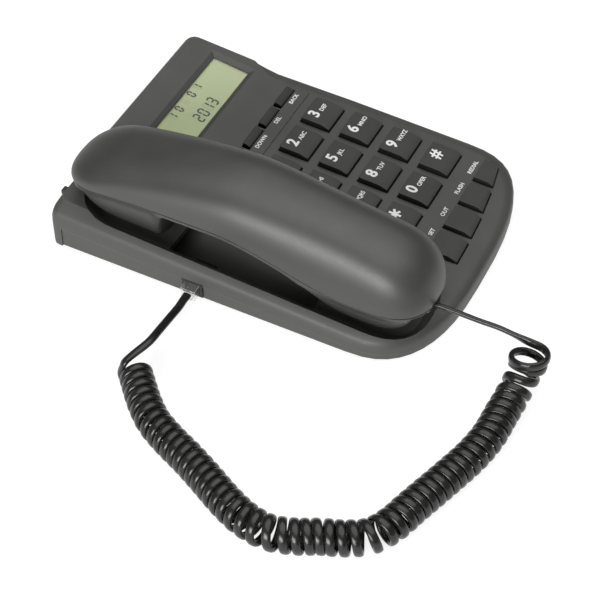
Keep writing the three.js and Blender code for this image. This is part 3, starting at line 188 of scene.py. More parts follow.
def evened(piece: bpy.types.Object) -> bpy.types.Object:
    """Weight a piece's normals by the size of its faces, so that rounds run into flats.

    Args:
        piece: the piece.

    Returns:
        The same piece.
    """
    even = piece.modifiers.new("even normals", "WEIGHTED_NORMAL")
    even.keep_sharp = True
    return piece


def copied(node: str) -> bmesh.types.BMesh:
    """Copy a node of the part with its loose triangles joined into faces.

    Args:
        node: the node's name.

    Returns:
        The mesh, in metres in the part's frame.
    """
    bm = bmesh.new()
    bm.from_mesh(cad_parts[node].data)
    bmesh.ops.remove_doubles(bm, verts=bm.verts[:], dist=COPY_WELD)
    bmesh.ops.dissolve_limit(
        bm, angle_limit=math.radians(FLAT_ANGLE), verts=bm.verts[:], edges=bm.edges[:]
    )
    return bm


def sharp_edges(bm: bmesh.types.BMesh) -> list[bmesh.types.BMEdge]:
    """List the edges of a closed mesh that are sharp enough to get a round."""
    limit = math.radians(SHARP_ANGLE)
    return [edge for edge in bm.edges if edge.calc_face_angle(0.0) > limit]


def uprightness(edge: bmesh.types.BMEdge, up: Vector) -> float:
    """Return how upright an edge stands, from 0 to 1."""
    return abs((edge.verts[0].co - edge.verts[1].co).normalized().dot(up))


def rounded(
    bm: bmesh.types.BMesh, edges: Sequence[bmesh.types.BMEdge], offset: float, segments: int
) -> None:
    """Round edges of a mesh.

    Args:
        bm: the mesh, which is changed.
        edges: the edges to round.
        offset: how far from the edge the round starts, in metres.
        segments: how many faces the round has across.
    """
    bmesh.ops.bevel(
        bm,
        geom=list(edges),
        offset=offset,
        offset_type="OFFSET",
        affect="EDGES",
        segments=segments,
        profile=0.5,
        material=-1,
        clamp_overlap=True,
    )


def sheet_of_rings(rings: Sequence[Ring], closed: bool) -> bmesh.types.BMesh:
    """Draw an edge loop through a row of stations and keep the skin that it leaves.

    Args:
        rings: the stations, each with the same number of points.
        closed: True if each station is a closed loop.

    Returns:
        The skin, open at its first and last station.
    """
    bm = bmesh.new()
    verts = [bm.verts.new(point) for point in rings[0]]
    pairs = list(zip(verts, verts[1:]))
    if closed:
        pairs.append((verts[-1], verts[0]))
    edges = [bm.edges.new(pair) for pair in pairs]
    for ring in rings[1:]:
        grown = bmesh.ops.extrude_edge_only(bm, edges=edges)["geom"]
        new = {item for item in grown if isinstance(item, bmesh.types.BMVert)}
        edges = [
            item
            for item in grown
            if isinstance(item, bmesh.types.BMEdge) and new.issuperset(item.verts)
        ]
        old, follow = set(verts), {}
        for vert in new:
            for edge in vert.link_edges:
                other = edge.other_vert(vert)
                if other in old:
                    follow[other] = vert
        verts = [follow[vert] for vert in verts]
        for vert, point in zip(verts, ring):
            vert.co = point
    bmesh.ops.remove_doubles(bm, verts=bm.verts[:], dist=SKIN_WELD)
    return bm


def cut_along(
    bm: bmesh.types.BMesh, faces: Sequence[bmesh.types.BMFace], place: Vector, across: Vector
) -> None:
    """Cut some faces of a mesh along a plane, without taking anything away.

    Args:
        bm: the mesh.
        faces: the faces that are cut where the plane meets them.
        place: a point of the plane.
        across: the plane's normal.
    """
    geom: list[bmesh.types.BMFace | bmesh.types.BMEdge | bmesh.types.BMVert] = list(faces)
    geom += {edge for face in faces for edge in face.edges}
    geom += {vert for face in faces for vert in face.verts}
    bmesh.ops.bisect_plane(bm, geom=geom, dist=CUT_WELD, plane_co=place, plane_no=across)


def open_round(bm: bmesh.types.BMesh, centre: Vector, radius: float, sides: int) -> None:
    """Cut a round opening through a nearly level skin.

    Args:
        bm: the skin.
        centre: the opening's middle, on the skin.
        radius: its radius in metres.
        sides: how many sides it has.
    """
    reach = radius + ROUND_MARGIN

    def near() -> list[bmesh.types.BMFace]:
        """List the faces round the opening."""
        return [face for face in bm.faces if (face.calc_center_median() - centre).length < reach]

    rays = []
    for k in range(sides):
        turn = 2 * math.pi * k / sides
        rays.append(Vector((math.cos(turn), math.sin(turn), 0)))
        cut_along(bm, near(), centre + rays[-1] * radius, rays[-1])
    inside = [
        face
        for face in near()
        if all((face.calc_center_median() - centre).dot(ray) < radius for ray in rays)
    ]
    bmesh.ops.delete(bm, geom=inside, context="FACES")


def open_box(bm: bmesh.types.BMesh, low: Vector, high: Vector) -> None:
    """Cut away the part of a skin that lies in a box.

    Args:
        bm: the skin.
        low: the box's lowest corner.
        high: its highest corner.
    """
    reach = high.y + BOX_MARGIN

    def near() -> list[bmesh.types.BMFace]:
        """List the faces in front of the box's back."""
        return [face for face in bm.faces if face.calc_center_median().y < reach]

    for place in (low, high):
        for axis in range(3):
            across = Vector((0, 0, 0))
            across[axis] = 1.0
            cut_along(bm, near(), place, across)
    inside = []
    for face in bm.faces:
        middle = face.calc_center_median()
        if all(low[axis] < middle[axis] < high[axis] for axis in range(3)):
            inside.append(face)
    bmesh.ops.delete(bm, geom=inside, context="FACES")


# Node trees

# The Mix node's inputs for a mask and two colours, and its output for the mixed colour
MIX_INPUTS = (0, 6, 7)
MIX_OUTPUT = 2
# Where the values of a noise mostly lie
NOISE_SPAN = (0.3, 0.7)


class Wiring:
    """A node tree being wired, for a material or for an effect that materials share."""

    def __init__(self, tree: bpy.types.NodeTree) -> None:
        """Start on a tree and empty it."""
        self.tree = tree
        tree.nodes.clear()

    def add(self, kind: str, **settings: object) -> bpy.types.Node:
        """Add a node.

        Args:
            kind: the node's type, without its ShaderNode.
            settings: attributes of the node.

        Returns:
            The new node.
        """
        node = self.tree.nodes.new("ShaderNode" + kind)
        for key, value in settings.items():
            setattr(node, key, value)
        return node

    def join(self, source: bpy.types.NodeSocket, target: bpy.types.NodeSocket) -> None:
        """Lead one socket to another."""
        self.tree.links.new(source, target)

    def feed(self, socket: bpy.types.NodeSocket, value: object) -> None:
        """Give an input what it takes.

        Args:
            socket: the input.
            value: a plain value, or the socket that leads to it.
        """
        if isinstance(value, bpy.types.NodeSocket):
            self.join(value, socket)
        else:
            socket.default_value = value

    def fill(self, node: bpy.types.Node, **values: object) -> bpy.types.Node:
        """Set or lead the inputs of a node.

        Args:
            node: the node.
            values: for each input, by its name with _ for a space, a value or a socket.

        Returns:
            The same node.
        """
        for key, value in values.items():
            self.feed(node.inputs[key.replace("_", " ")], value)
        return node

    def calculate(
        self, operation: str, first: object, second: object = 0.0
    ) -> bpy.types.NodeSocket:
        """Add a Math node and return what it puts out.

        Args:
            operation: the sum that it does.
            first: its first value or socket.
            second: its second value or socket.

        Returns:
            The node's output socket.
        """
        node = self.add("Math", operation=operation)
        for socket, value in zip(node.inputs, (first, second)):
            self.feed(socket, value)
        return node.outputs[0]

    def ranged(self, value: bpy.types.NodeSocket, start: Span, end: Span) -> bpy.types.NodeSocket:
        """Lead a value from one range to another.

        Args:
            value: the socket with the value.
            start: the range that it has.
            end: the range that it gets.

        Returns:
            The socket with the new value.
        """
        node = self.add("MapRange")
        for socket, item in zip(node.inputs, (value, *start, *end)):
            self.feed(socket, item)
        return node.outputs[0]

    def overlay(
        self, mask: bpy.types.NodeSocket, under: object, over: object
    ) -> bpy.types.NodeSocket:
        """Lay one colour over another.

        Args:
            mask: where it covers the other, from 0 to 1.
            under: the colour beneath, a value or a socket.
            over: the colour on top.

        Returns:
            The socket with the mixed colour.
        """
        node = self.add("Mix", data_type="RGBA")
        for number, item in zip(MIX_INPUTS, (mask, under, over)):
            self.feed(node.inputs[number], item)
        return node.outputs[MIX_OUTPUT]


class Effect(Enum):
    """The effects that several materials share, one node group each."""

    MOULDED_GRAIN = "moulded_grain"
    # Edges painted paler, for real wear and as a painted highlight
    EDGE_WEAR_AND_HIGHLIGHT = "edge_wear_and_highlight"
    TONE_DRIFT = "tone_drift"
    TABLE_DUST = "table_dust"
    SOFT_EDGE = "soft_edge"


def start_group(
    effect: Effect, inputs: Sequence[tuple[str, str, float]], outputs: Sequence[tuple[str, str]]
) -> tuple[bpy.types.NodeTree, Wiring, bpy.types.Node, bpy.types.Node]:
    """Start the node group of an effect.

    Args:
        effect: which effect it is.
        inputs: each input's name, kind of socket and first value.
        outputs: each output's name and kind of socket.

    Returns:
        The group, its wiring and its input and output nodes.
    """
    group = bpy.data.node_groups.new(effect.value, "ShaderNodeTree")
    for name, kind, value in inputs:
        socket = group.interface.new_socket(name, in_out="INPUT", socket_type="NodeSocket" + kind)
        if kind == "Float":
            socket.default_value = value
    for name, kind in outputs:
        group.interface.new_socket(name, in_out="OUTPUT", socket_type="NodeSocket" + kind)
    wiring = Wiring(group)
    return group, wiring, group.nodes.new("NodeGroupInput"), group.nodes.new("NodeGroupOutput")


def moulded_grain() -> bpy.types.NodeTree:
    """Build the fine leathery grain that a mould leaves on plastic.

    Returns:
        The node group.
    """
    group, w, inward, outward = start_group(
        Effect.MOULDED_GRAIN,
        [("Vector", "Vector", 0.0), ("Fineness", "Float", 2600.0), ("Depth", "Float", 1.0)],
        [("Height", "Float"), ("Gloss", "Float")],
    )
    pits = w.fill(
        w.add("TexVoronoi", feature="SMOOTH_F1"),
        Vector=inward.outputs["Vector"],
        Scale=inward.outputs["Fineness"],
        Smoothness=0.6,
    )
    haze = w.fill(
        w.add("TexNoise"), Vector=inward.outputs["Vector"], Scale=900.0, Detail=3.0, Roughness=0.6
    )
    mixed = w.calculate("ADD", pits.outputs["Distance"], haze.outputs[0])
    height = w.calculate("MULTIPLY", mixed, inward.outputs["Depth"])
    w.join(height, outward.inputs["Height"])
    w.join(w.ranged(haze.outputs[0], NOISE_SPAN, (-1.0, 1.0)), outward.inputs["Gloss"])
    return group


def edge_wear_and_highlight() -> bpy.types.NodeTree:
    """Build the mask of edges that are painted paler, for wear and as a painted highlight, from how
    a rounded normal leaves the true one.

    Returns:
        The node group.
    """
    group, w, inward, outward = start_group(
        Effect.EDGE_WEAR_AND_HIGHLIGHT,
        [("Vector", "Vector", 0.0), ("Width", "Float", 0.0004), ("Strength", "Float", 1.0)],
        [("Mask", "Float")],
    )
    bevel = w.fill(w.add("Bevel", samples=4), Radius=inward.outputs["Width"])
    geometry = w.add("NewGeometry")
    turn = w.add("VectorMath", operation="DOT_PRODUCT")
    w.join(bevel.outputs[0], turn.inputs[0])
    w.join(geometry.outputs["Normal"], turn.inputs[1])
    bent = w.ranged(turn.outputs["Value"], (0.999, 0.86), (0.0, 1.0))
    rub = w.fill(w.add("TexNoise"), Vector=inward.outputs["Vector"], Scale=420.0, Detail=4.0)
    patchy = w.ranged(rub.outputs[0], (0.35, 0.65), (0.35, 1.0))
    mask = w.calculate("MULTIPLY", bent, patchy)
    w.join(w.calculate("MULTIPLY", mask, inward.outputs["Strength"]), outward.inputs["Mask"])
    return group


def tone_drift() -> bpy.types.NodeTree:
    """Build the slow change of tone over a moulding.

    Returns:
        The node group.
    """
    group, w, inward, outward = start_group(
        Effect.TONE_DRIFT,
        [("Vector", "Vector", 0.0), ("Colour", "Color", 0.0), ("Amount", "Float", 0.05)],
        [("Colour", "Color")],
    )
    cloud = w.fill(w.add("TexNoise"), Vector=inward.outputs["Vector"], Scale=26.0, Detail=5.0)
    speck = w.fill(w.add("TexNoise"), Vector=inward.outputs["Vector"], Scale=1500.0, Detail=2.0)
    both = w.calculate("ADD", cloud.outputs[0], w.calculate("MULTIPLY", speck.outputs[0], 0.7))
    centred = w.calculate("SUBTRACT", both, 0.85)
    swing = w.calculate("MULTIPLY", centred, inward.outputs["Amount"])
    gain = w.calculate("ADD", swing, 1.0)
    tint = w.add("VectorMath", operation="SCALE")
    w.join(inward.outputs["Colour"], tint.inputs[0])
    w.join(gain, tint.inputs["Scale"])
    w.join(tint.outputs["Vector"], outward.inputs["Colour"])
    return group


def table_dust() -> bpy.types.NodeTree:
    """Build the thin dust that settles on faces that look up.

    Returns:
        The node group.
    """
    group, w, inward, outward = start_group(
        Effect.TABLE_DUST,
        [("Vector", "Vector", 0.0), ("Amount", "Float", 0.05)],
        [("Mask", "Float")],
    )
    geometry = w.add("NewGeometry")
    parts = w.add("SeparateXYZ")
    w.join(geometry.outputs["Normal"], parts.inputs[0])
    upward = w.ranged(parts.outputs["Z"], (0.3, 1.0), (0.0, 1.0))
    cloud = w.fill(w.add("TexNoise"), Vector=inward.outputs["Vector"], Scale=60.0, Detail=8.0)
    patches = w.ranged(cloud.outputs[0], (0.4, 0.7), (0.2, 1.0))
    mask = w.calculate("MULTIPLY", upward, patches)
    w.join(w.calculate("MULTIPLY", mask, inward.outputs["Amount"]), outward.inputs["Mask"])
    return group


def soft_edge() -> bpy.types.NodeTree:
    """Build the normal that makes a sharp moulded edge catch the light as a small round.

    Returns:
        The node group.
    """
    group, w, inward, outward = start_group(
        Effect.SOFT_EDGE, [("Radius", "Float", 0.0003)], [("Normal", "Vector")]
    )
    bevel = w.fill(w.add("Bevel", samples=6), Radius=inward.outputs["Radius"])
    w.join(bevel.outputs[0], outward.inputs["Normal"])
    return group


EFFECT_BUILDERS: dict[Effect, Callable[[], bpy.types.NodeTree]] = {
    Effect.MOULDED_GRAIN: moulded_grain,
    Effect.EDGE_WEAR_AND_HIGHLIGHT: edge_wear_and_highlight,
    Effect.TONE_DRIFT: tone_drift,
    Effect.TABLE_DUST: table_dust,
    Effect.SOFT_EDGE: soft_edge,
}


def effect_node(w: Wiring, effect: Effect, **values: object) -> bpy.types.Node:
    """Place a shared effect in a material, building its group the first time.

    Args:
        w: the material's wiring.
        effect: which effect to place.
        values: its inputs, values or sockets.

    Returns:
        The placed group node.
    """
    group = bpy.data.node_groups.get(effect.value) or EFFECT_BUILDERS[effect]()
    node = w.add("Group")
    node.node_tree = group
    return w.fill(node, **values)


# Finishes

# How much paler an edge is painted, for its wear and as a painted highlight, and the dust on
# mouldings and on the cord, on a screen
WORN_AND_HIGHLIT_PALER = 46
MOULDING_DUST: Rgb = (176, 172, 164)
CORD_DUST: Rgb = (150, 147, 140)


def linear(rgb: Rgb) -> tuple[float, float, float, float]:
    """Turn a colour as a screen shows it into the values that light is reckoned with.

    Args:
        rgb: red, green and blue from 0 to 255.

    Returns:
        Red, green, blue and alpha from 0 to 1.
    """

    def channel(value: int) -> float:
        """Turn one of the three values."""
        share = value / 255
        return share / 12.92 if share <= 0.04045 else ((share + 0.055) / 1.055) ** 2.4

    red, green, blue = rgb
    return (channel(red), channel(green), channel(blue), 1.0)


def shifted(rgb: Rgb, step: int) -> Rgb:
    """Make a colour paler, or darker where the step is below 0."""
    red, green, blue = (min(max(value + step, 0), 255) for value in rgb)
    return red, green, blue


def blank_material(name: str) -> tuple[bpy.types.Material, Wiring, bpy.types.Node, bpy.types.Node]:
    """Start a material.

    Args:
        name: the material's name.

    Returns:
        The material, its wiring, its Principled shader and its Texture Coordinate node.
    """
    finish = bpy.data.materials.new(name)
    finish.use_nodes = True
    w = Wiring(finish.node_tree)
    shader = w.add("BsdfPrincipled")
    surface = w.add("OutputMaterial")
    w.join(shader.outputs[0], surface.inputs["Surface"])
    return finish, w, shader, w.add("TexCoord")


@dataclass(frozen=True)
class MouldedPlastic:
    """Matte plastic with a fine moulded grain.

    Attributes:
        name: the material's name.
        colour: its colour on a screen.
        roughness: how dull it is.
        fineness: grains per metre.
        grain: how deep the grain looks.
        drift: how much its tone changes over the moulding.
        wear_and_highlight: how pale its edges are painted, for wear and as a painted highlight.
        wear_and_highlight_reach: how wide that pale edge is, as a share of the edge's radius.
        edge: the radius in metres that its edges catch the light with.
        dust: how much dust lies on it.
        shine: how strongly its surface mirrors, 0.5 for common plastic.
        gloss_swing: how much the grain changes its roughness.
    """

    name: str
    colour: Rgb
    roughness: float = 0.5
    fineness: float = 2600.0
    grain: float = 1.0
    drift: float = 0.12
    wear_and_highlight: float = 0.5
    wear_and_highlight_reach: float = 1.5
    edge: float = 0.0003
    dust: float = 0.03
    shine: float = 0.5
    gloss_swing: float = 0.035

    def material(self) -> bpy.types.Material:
        """Build the material.

        Returns:
            The material.
        """
        finish, w, shader, coords = blank_material(self.name)
        place = coords.outputs["Object"]
        drift = effect_node(
            w, Effect.TONE_DRIFT, Vector=place, Colour=linear(self.colour), Amount=self.drift
        )
        # The edges are painted paler, partly for real wear and partly as a painted highlight along
        # them
        width = self.edge * self.wear_and_highlight_reach
        wear_and_highlight = effect_node(w, Effect.EDGE_WEAR_AND_HIGHLIGHT, Vector=place, Width=width, Strength=self.wear_and_highlight)
        pale = linear(shifted(self.colour, WORN_AND_HIGHLIT_PALER))
        worn_and_highlit = w.overlay(wear_and_highlight.outputs["Mask"], drift.outputs["Colour"], pale)
        dust = effect_node(w, Effect.TABLE_DUST, Vector=place, Amount=self.dust)
        dusty = w.overlay(dust.outputs["Mask"], worn_and_highlit, linear(MOULDING_DUST))
        w.join(dusty, shader.inputs["Base Color"])
        grain = effect_node(
            w, Effect.MOULDED_GRAIN, Vector=place, Fineness=self.fineness, Depth=self.grain
        )
        swing = w.calculate("MULTIPLY", grain.outputs["Gloss"], self.gloss_swing)
        w.join(w.calculate("ADD", swing, self.roughness), shader.inputs["Roughness"])
        shader.inputs["Specular IOR Level"].default_value = self.shine
        soft = effect_node(w, Effect.SOFT_EDGE, Radius=self.edge)
        bump = w.fill(
            w.add("Bump"),
            Strength=0.16,
            Distance=0.00006,
            Height=grain.outputs["Height"],
            Normal=soft.outputs["Normal"],
        )
        w.join(bump.outputs[0], shader.inputs["Normal"])
        return finish


@dataclass(frozen=True)
class ClearPlastic:
    """Clear moulded plastic, such as a plug or the window over the display.

    Attributes:
        name: the material's name.
        colour: its tint on a screen.
        alpha: how much of it hides what is behind it.
        roughness: how dull its surface is.
        edge: the radius in metres that its edges catch the light with.
        rim: how clearly its edges show, opaque in the pale tint as a painted highlight.
    """

    name: str
    colour: Rgb
    alpha: float
    roughness: float = 0.08
    edge: float = 0.0002
    rim: float = 0.5

    def material(self) -> bpy.types.Material:
        """Build the material.

        Returns:
            The material.
        """
        finish, w, shader, coords = blank_material(self.name)
        place = coords.outputs["Object"]
        drift = effect_node(
            w, Effect.TONE_DRIFT, Vector=place, Colour=linear(self.colour), Amount=0.06
        )
        w.join(drift.outputs["Colour"], shader.inputs["Base Color"])
        # The edges are made more opaque in the pale tint: a painted highlight along the clear edges
        wear_and_highlight = effect_node(
            w, Effect.EDGE_WEAR_AND_HIGHLIGHT, Vector=place, Width=self.edge * 2, Strength=self.rim
        )
        w.join(w.calculate("ADD", wear_and_highlight.outputs["Mask"], self.alpha), shader.inputs["Alpha"])
        smear = w.fill(w.add("TexNoise"), Vector=place, Scale=240.0, Detail=3.0)
        dull = w.ranged(smear.outputs[0], NOISE_SPAN, (self.roughness, self.roughness + 0.05))
        w.join(dull, shader.inputs["Roughness"])
        soft = effect_node(w, Effect.SOFT_EDGE, Radius=self.edge)
        w.join(soft.outputs["Normal"], shader.inputs["Normal"])
        return finish


@dataclass(frozen=True)
class CordJacket:
    """The glossy soft jacket of the cord.

    Attributes:
        name: the material's name.
        colour: its colour on a screen.
        roughness: how dull it is.
    """

    name: str
    colour: Rgb
    roughness: float

    def material(self) -> bpy.types.Material:
        """Build the material.

        Returns:
            The material.
        """
        finish, w, shader, coords = blank_material(self.name)
        place = coords.outputs["Object"]
        drift = effect_node(
            w, Effect.TONE_DRIFT, Vector=place, Colour=linear(self.colour), Amount=0.25
        )
        dust = effect_node(w, Effect.TABLE_DUST, Vector=place, Amount=0.03)
        dusty = w.overlay(dust.outputs["Mask"], drift.outputs["Colour"], linear(CORD_DUST))
        w.join(dusty, shader.inputs["Base Color"])
        scuff = w.fill(w.add("TexNoise"), Vector=place, Scale=700.0, Detail=5.0)
        span = (self.roughness - 0.04, self.roughness + 0.08)
        w.join(w.ranged(scuff.outputs[0], NOISE_SPAN, span), shader.inputs["Roughness"])
        bump = w.fill(w.add("Bump"), Strength=0.12, Distance=0.00005, Height=scuff.outputs[0])
        w.join(bump.outputs[0], shader.inputs["Normal"])
        return finish


@dataclass(frozen=True)
class PlatedMetal:
    """Plated or rolled metal, such as a screw or a plug's contact.

    Attributes:
        name: the material's name.
        colour: its colour on a screen.
        roughness: how dull it is.
        streaks: how far the rolling marks are drawn out along Z.
    """

    name: str
    colour: Rgb
    roughness: float
    streaks: float = 1.0

    def material(self) -> bpy.types.Material:
        """Build the material.

        Returns:
            The material.
        """
        finish, w, shader, coords = blank_material(self.name)
        stretch = w.fill(w.add("Mapping"), Vector=coords.outputs["Object"])
        stretch.inputs["Scale"].default_value = (1.0, 1.0, self.streaks)
        lines = w.fill(w.add("TexNoise"), Vector=stretch.outputs[0], Scale=2400.0, Detail=4.0)
        drift = effect_node(
            w,
            Effect.TONE_DRIFT,
            Vector=stretch.outputs[0],
            Colour=linear(self.colour),
            Amount=0.25,
        )
        w.join(drift.outputs["Colour"], shader.inputs["Base Color"])
        shader.inputs["Metallic"].default_value = 1.0
        dull = w.ranged(lines.outputs[0], NOISE_SPAN, (self.roughness, self.roughness + 0.15))
        w.join(dull, shader.inputs["Roughness"])
        bump = w.fill(w.add("Bump"), Strength=0.1, Distance=0.00003, Height=lines.outputs[0])
        w.join(bump.outputs[0], shader.inputs["Normal"])
        return finish


@dataclass(frozen=True)
class PrintedInk:
    """Ink printed on a key, on the deck or shown by the display.

    Attributes:
        name: the material's name.
        colour: its colour on a screen.
        roughness: how dull it is.
    """

    name: str
    colour: Rgb
    roughness: float = 0.55

    def material(self) -> bpy.types.Material:
        """Build the material.

        Returns:
            The material.
        """
        finish, w, shader, coords = blank_material(self.name)
        place = coords.outputs["Object"]
        drift = effect_node(
            w, Effect.TONE_DRIFT, Vector=place, Colour=linear(self.colour), Amount=0.1
        )
        w.join(drift.outputs["Colour"], shader.inputs["Base Color"])
        grain = effect_node(w, Effect.MOULDED_GRAIN, Vector=place, Fineness=3000.0, Depth=1.0)
        swing = w.calculate("MULTIPLY", grain.outputs["Gloss"], 0.05)
        w.join(w.calculate("ADD", swing, self.roughness), shader.inputs["Roughness"])
        bump = w.fill(
            w.add("Bump"), Strength=0.1, Distance=0.00003, Height=grain.outputs["Height"]
        )
        w.join(bump.outputs[0], shader.inputs["Normal"])
        return finish


@dataclass(frozen=True)
class LiquidCrystal:
    """The reflective pale green panel of the display.

    Attributes:
        name: the material's name.
        left: its colour at its left end, darker for a painted shade there.
        right: its colour at its right end.
        ends: where its two ends are along X, in metres.
    """

    name: str
    left: Rgb
    right: Rgb
    ends: Span = (-0.005, 0.058)

    def material(self) -> bpy.types.Material:
        """Build the material.

        Returns:
            The material.
        """
        finish, w, shader, coords = blank_material(self.name)
        place = coords.outputs["Object"]
        parts = w.add("SeparateXYZ")
        w.join(place, parts.inputs[0])
        # The panel is painted darker towards its left end: a painted shade
        along = w.ranged(parts.outputs["X"], self.ends, (0.0, 1.0))
        shade = w.overlay(along, linear(self.left), linear(self.right))
        drift = effect_node(w, Effect.TONE_DRIFT, Vector=place, Colour=shade, Amount=0.08)
        w.join(drift.outputs["Colour"], shader.inputs["Base Color"])
        grain = w.fill(w.add("TexNoise"), Vector=place, Scale=3000.0, Detail=1.0)
        w.join(w.ranged(grain.outputs[0], NOISE_SPAN, (0.35, 0.5)), shader.inputs["Roughness"])
        return finish


@dataclass(frozen=True)
class CircuitLaminate:
    """Lacquered laminate of the printed board, with faint copper tracks under it.

    Attributes:
        name: the material's name.
        colour: its colour on a screen.
        patch_darker: how much darker every other patch is.
        track_paler: how much paler the tracks are.
    """

    name: str
    colour: Rgb
    patch_darker: int = 10
    track_paler: int = 34

    def material(self) -> bpy.types.Material:
        """Build the material.

        Returns:
            The material.
        """
        finish, w, shader, coords = blank_material(self.name)
        place = coords.outputs["Object"]
        tracks = w.fill(
            w.add("TexBrick"),
            Vector=place,
            Scale=220.0,
            Color1=linear(self.colour),
            Color2=linear(shifted(self.colour, -self.patch_darker)),
            Mortar=linear(shifted(self.colour, self.track_paler)),
        )
        w.join(tracks.outputs[0], shader.inputs["Base Color"])
        shader.inputs["Roughness"].default_value = 0.3
        bump = w.fill(w.add("Bump"), Strength=0.3, Distance=0.00005, Height=tracks.outputs[1])
        w.join(bump.outputs[0], shader.inputs["Normal"])
        return finish


class Finishes:
    """Every material of the telephone, made once."""

    def __init__(self) -> None:
        """Build the materials."""
        self.case = MouldedPlastic(
            "case plastic", (68, 68, 65), roughness=0.5, edge=0.0005, shine=0.6
        ).material()
        self.handset = MouldedPlastic(
            "handset plastic", (54, 54, 52), roughness=0.47, wear_and_highlight=0.45, shine=0.8
        ).material()
        self.key = MouldedPlastic(
            "key plastic", (50, 50, 48), roughness=0.48, edge=0.00025, wear_and_highlight=0.35
        ).material()
        self.button = MouldedPlastic("button plastic", (20, 20, 19), roughness=0.42).material()
        self.foot = MouldedPlastic(
            "foot rubber", (26, 26, 26), roughness=0.85, fineness=1600.0, wear_and_highlight=0.2
        ).material()
        self.mat = MouldedPlastic("key mat rubber", (42, 42, 44), roughness=0.8).material()
        self.socket = MouldedPlastic("socket plastic", (24, 24, 24), roughness=0.5).material()
        self.paper = MouldedPlastic(
            "speaker paper", (52, 49, 45), roughness=0.9, fineness=1200.0, grain=1.6
        ).material()
        self.board = CircuitLaminate("board laminate", (36, 92, 58)).material()
        self.window = ClearPlastic("window plastic", (226, 232, 218), alpha=0.05).material()
        self.plug = ClearPlastic(
            "plug plastic", (214, 216, 212), alpha=0.12, edge=0.0003, rim=0.9
        ).material()
        # The display's panel is painted darker at its left end, a painted shade
        self.crystal = LiquidCrystal("display glass", (178, 190, 136), (190, 200, 158)).material()
        self.crystal_dark = PrintedInk("display figures", (28, 46, 36), roughness=0.4).material()
        self.crystal_ghost = PrintedInk("display ghosts", (171, 184, 133), roughness=0.4).material()
        self.ink = PrintedInk("white ink", (248, 249, 247)).material()
        self.screw = PlatedMetal("screw steel", (176, 176, 172), 0.3).material()
        self.cell = PlatedMetal("cell steel", (178, 176, 168), 0.35, streaks=8.0).material()
        self.contact = PlatedMetal("contact gold", (214, 176, 92), 0.25).material()
        self.cord = CordJacket("cord jacket", (26, 26, 25), 0.24).material()


def clothe(nodes: Iterable[str], finish: bpy.types.Material) -> None:
    """Give nodes of the part a better material, in their material slots.

    Args:
        nodes: the nodes' names.
        finish: the material.
    """
    for node in nodes:
        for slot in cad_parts[node].material_slots:
            slot.material = finish


# Case


@dataclass
class CaseShells:
    """The upper case, the lower case and the battery door.

    Attributes:
        finishes: the materials.
        shells: each shell's node and the body that carries it.
        corners: for each rear corner of the lower case the middle of its turn along X, in the
            drawing, and the way it faces.
        corner_y: where these corners start to turn.
        corner_reach: the radius of their turn, in millimetres.
        corner_slack: how far off that radius a point of a corner may lie.
        corner_start: how far aside and behind the turn's middle such a point lies at least.
        flank_share: the share of the radius that a corner's flank goes back.
        line_start: how far aside the upright line starts that is left of the corner.
        sole_height: how high the slanted rim of the sole reaches.
        sole_draft: how far that rim is set in.
    """

    finishes: Finishes
    shells: tuple[tuple[str, str], ...] = (
        ("upper_case", "base"),
        ("lower_case", "base"),
        ("battery_door", "battery_door"),
    )
    corners: tuple[tuple[float, int], ...] = ((-63.25, -1), (64.59, 1))
    corner_y: float = 87.1
    corner_reach: float = 3.6
    corner_slack: float = 0.35
    corner_start: Span = (0.7, 0.9)
    flank_share: float = 0.8
    line_start: float = 1.5
    sole_height: float = 1.2
    sole_draft: float = 0.5

    def fill_corners(self, bm: bmesh.types.BMesh) -> None:
        """Draw the lower case's rounded rear corners out, so that only a line shows there.

        Args:
            bm: the lower case, which is changed.
        """
        least_aside, least_behind = self.corner_start
        for vert in bm.verts:
            x, y, z = vert.co / MM - DRAWING_SHIFT
            for middle, way in self.corners:
                aside, behind = (x - middle) * way, y - self.corner_y
                off = abs(math.hypot(aside, behind) - self.corner_reach)
                if aside < least_aside or behind < least_behind or off >= self.corner_slack:
                    continue
                draft = self.sole_draft if z < self.sole_height else 0.0
                side = middle + way * (self.corner_reach - draft)
                if aside > behind:
                    vert.co = at(side, self.corner_y + self.corner_reach * self.flank_share, z)
                elif aside > self.line_start:
                    vert.co = at(side, self.corner_y + self.corner_reach, z)
                else:
                    vert.co = at(x, self.corner_y + self.corner_reach, z)

    def build(self) -> None:
        """Copy each shell with clean faces and shade its curved sides as smooth."""
        for node, body in self.shells:
            bm = copied(node)
            if node == "lower_case":
                self.fill_corners(bm)
            piece = finished(node + "_shell", bm, self.finishes.case, smooth_angle=24.0)
            settled(evened(piece), body, [node])
        log.info("case: %d shells", len(self.shells))

    def dress(self) -> None:
        """Give the nodes under and in the case their materials."""
        corners = ("front_left", "front_right", "rear_left", "rear_right")
        clothe(["foot_" + corner for corner in corners], self.finishes.foot)
        clothe(["case_screw_" + corner for corner in corners], self.finishes.screw)
        clothe(["battery_cell_1", "battery_cell_2", "battery_cell_3"], self.finishes.cell)
        clothe(["main_board"], self.finishes.board)
        clothe(["keypad_mat"], self.finishes.mat)
        sockets = ["ringer_buzzer", "handset_jack", "line_jack", "ringer_switch", "hook_switch"]
        clothe(sockets, self.finishes.socket)
        clothe(["ringer_knob", "hook_plunger"], self.finishes.key)


# Lettering


# The height of capitals as a share of the letters' size
CAPITAL_SHARE = 0.7
# The print's thickness and how deep it sinks in, in millimetres
INK_THICKNESS = 0.03
INK_SINK = 0.005
# How near points of a letter are joined, in millimetres
LETTER_WELD = 0.0005
# How much thicker each bar of a star is than the one before, so that none lies in another
STAR_STEP = 0.15
STAR_BARS = 3
# The least angle in degrees that shows as an edge on print
PRINT_ANGLE = 10.0


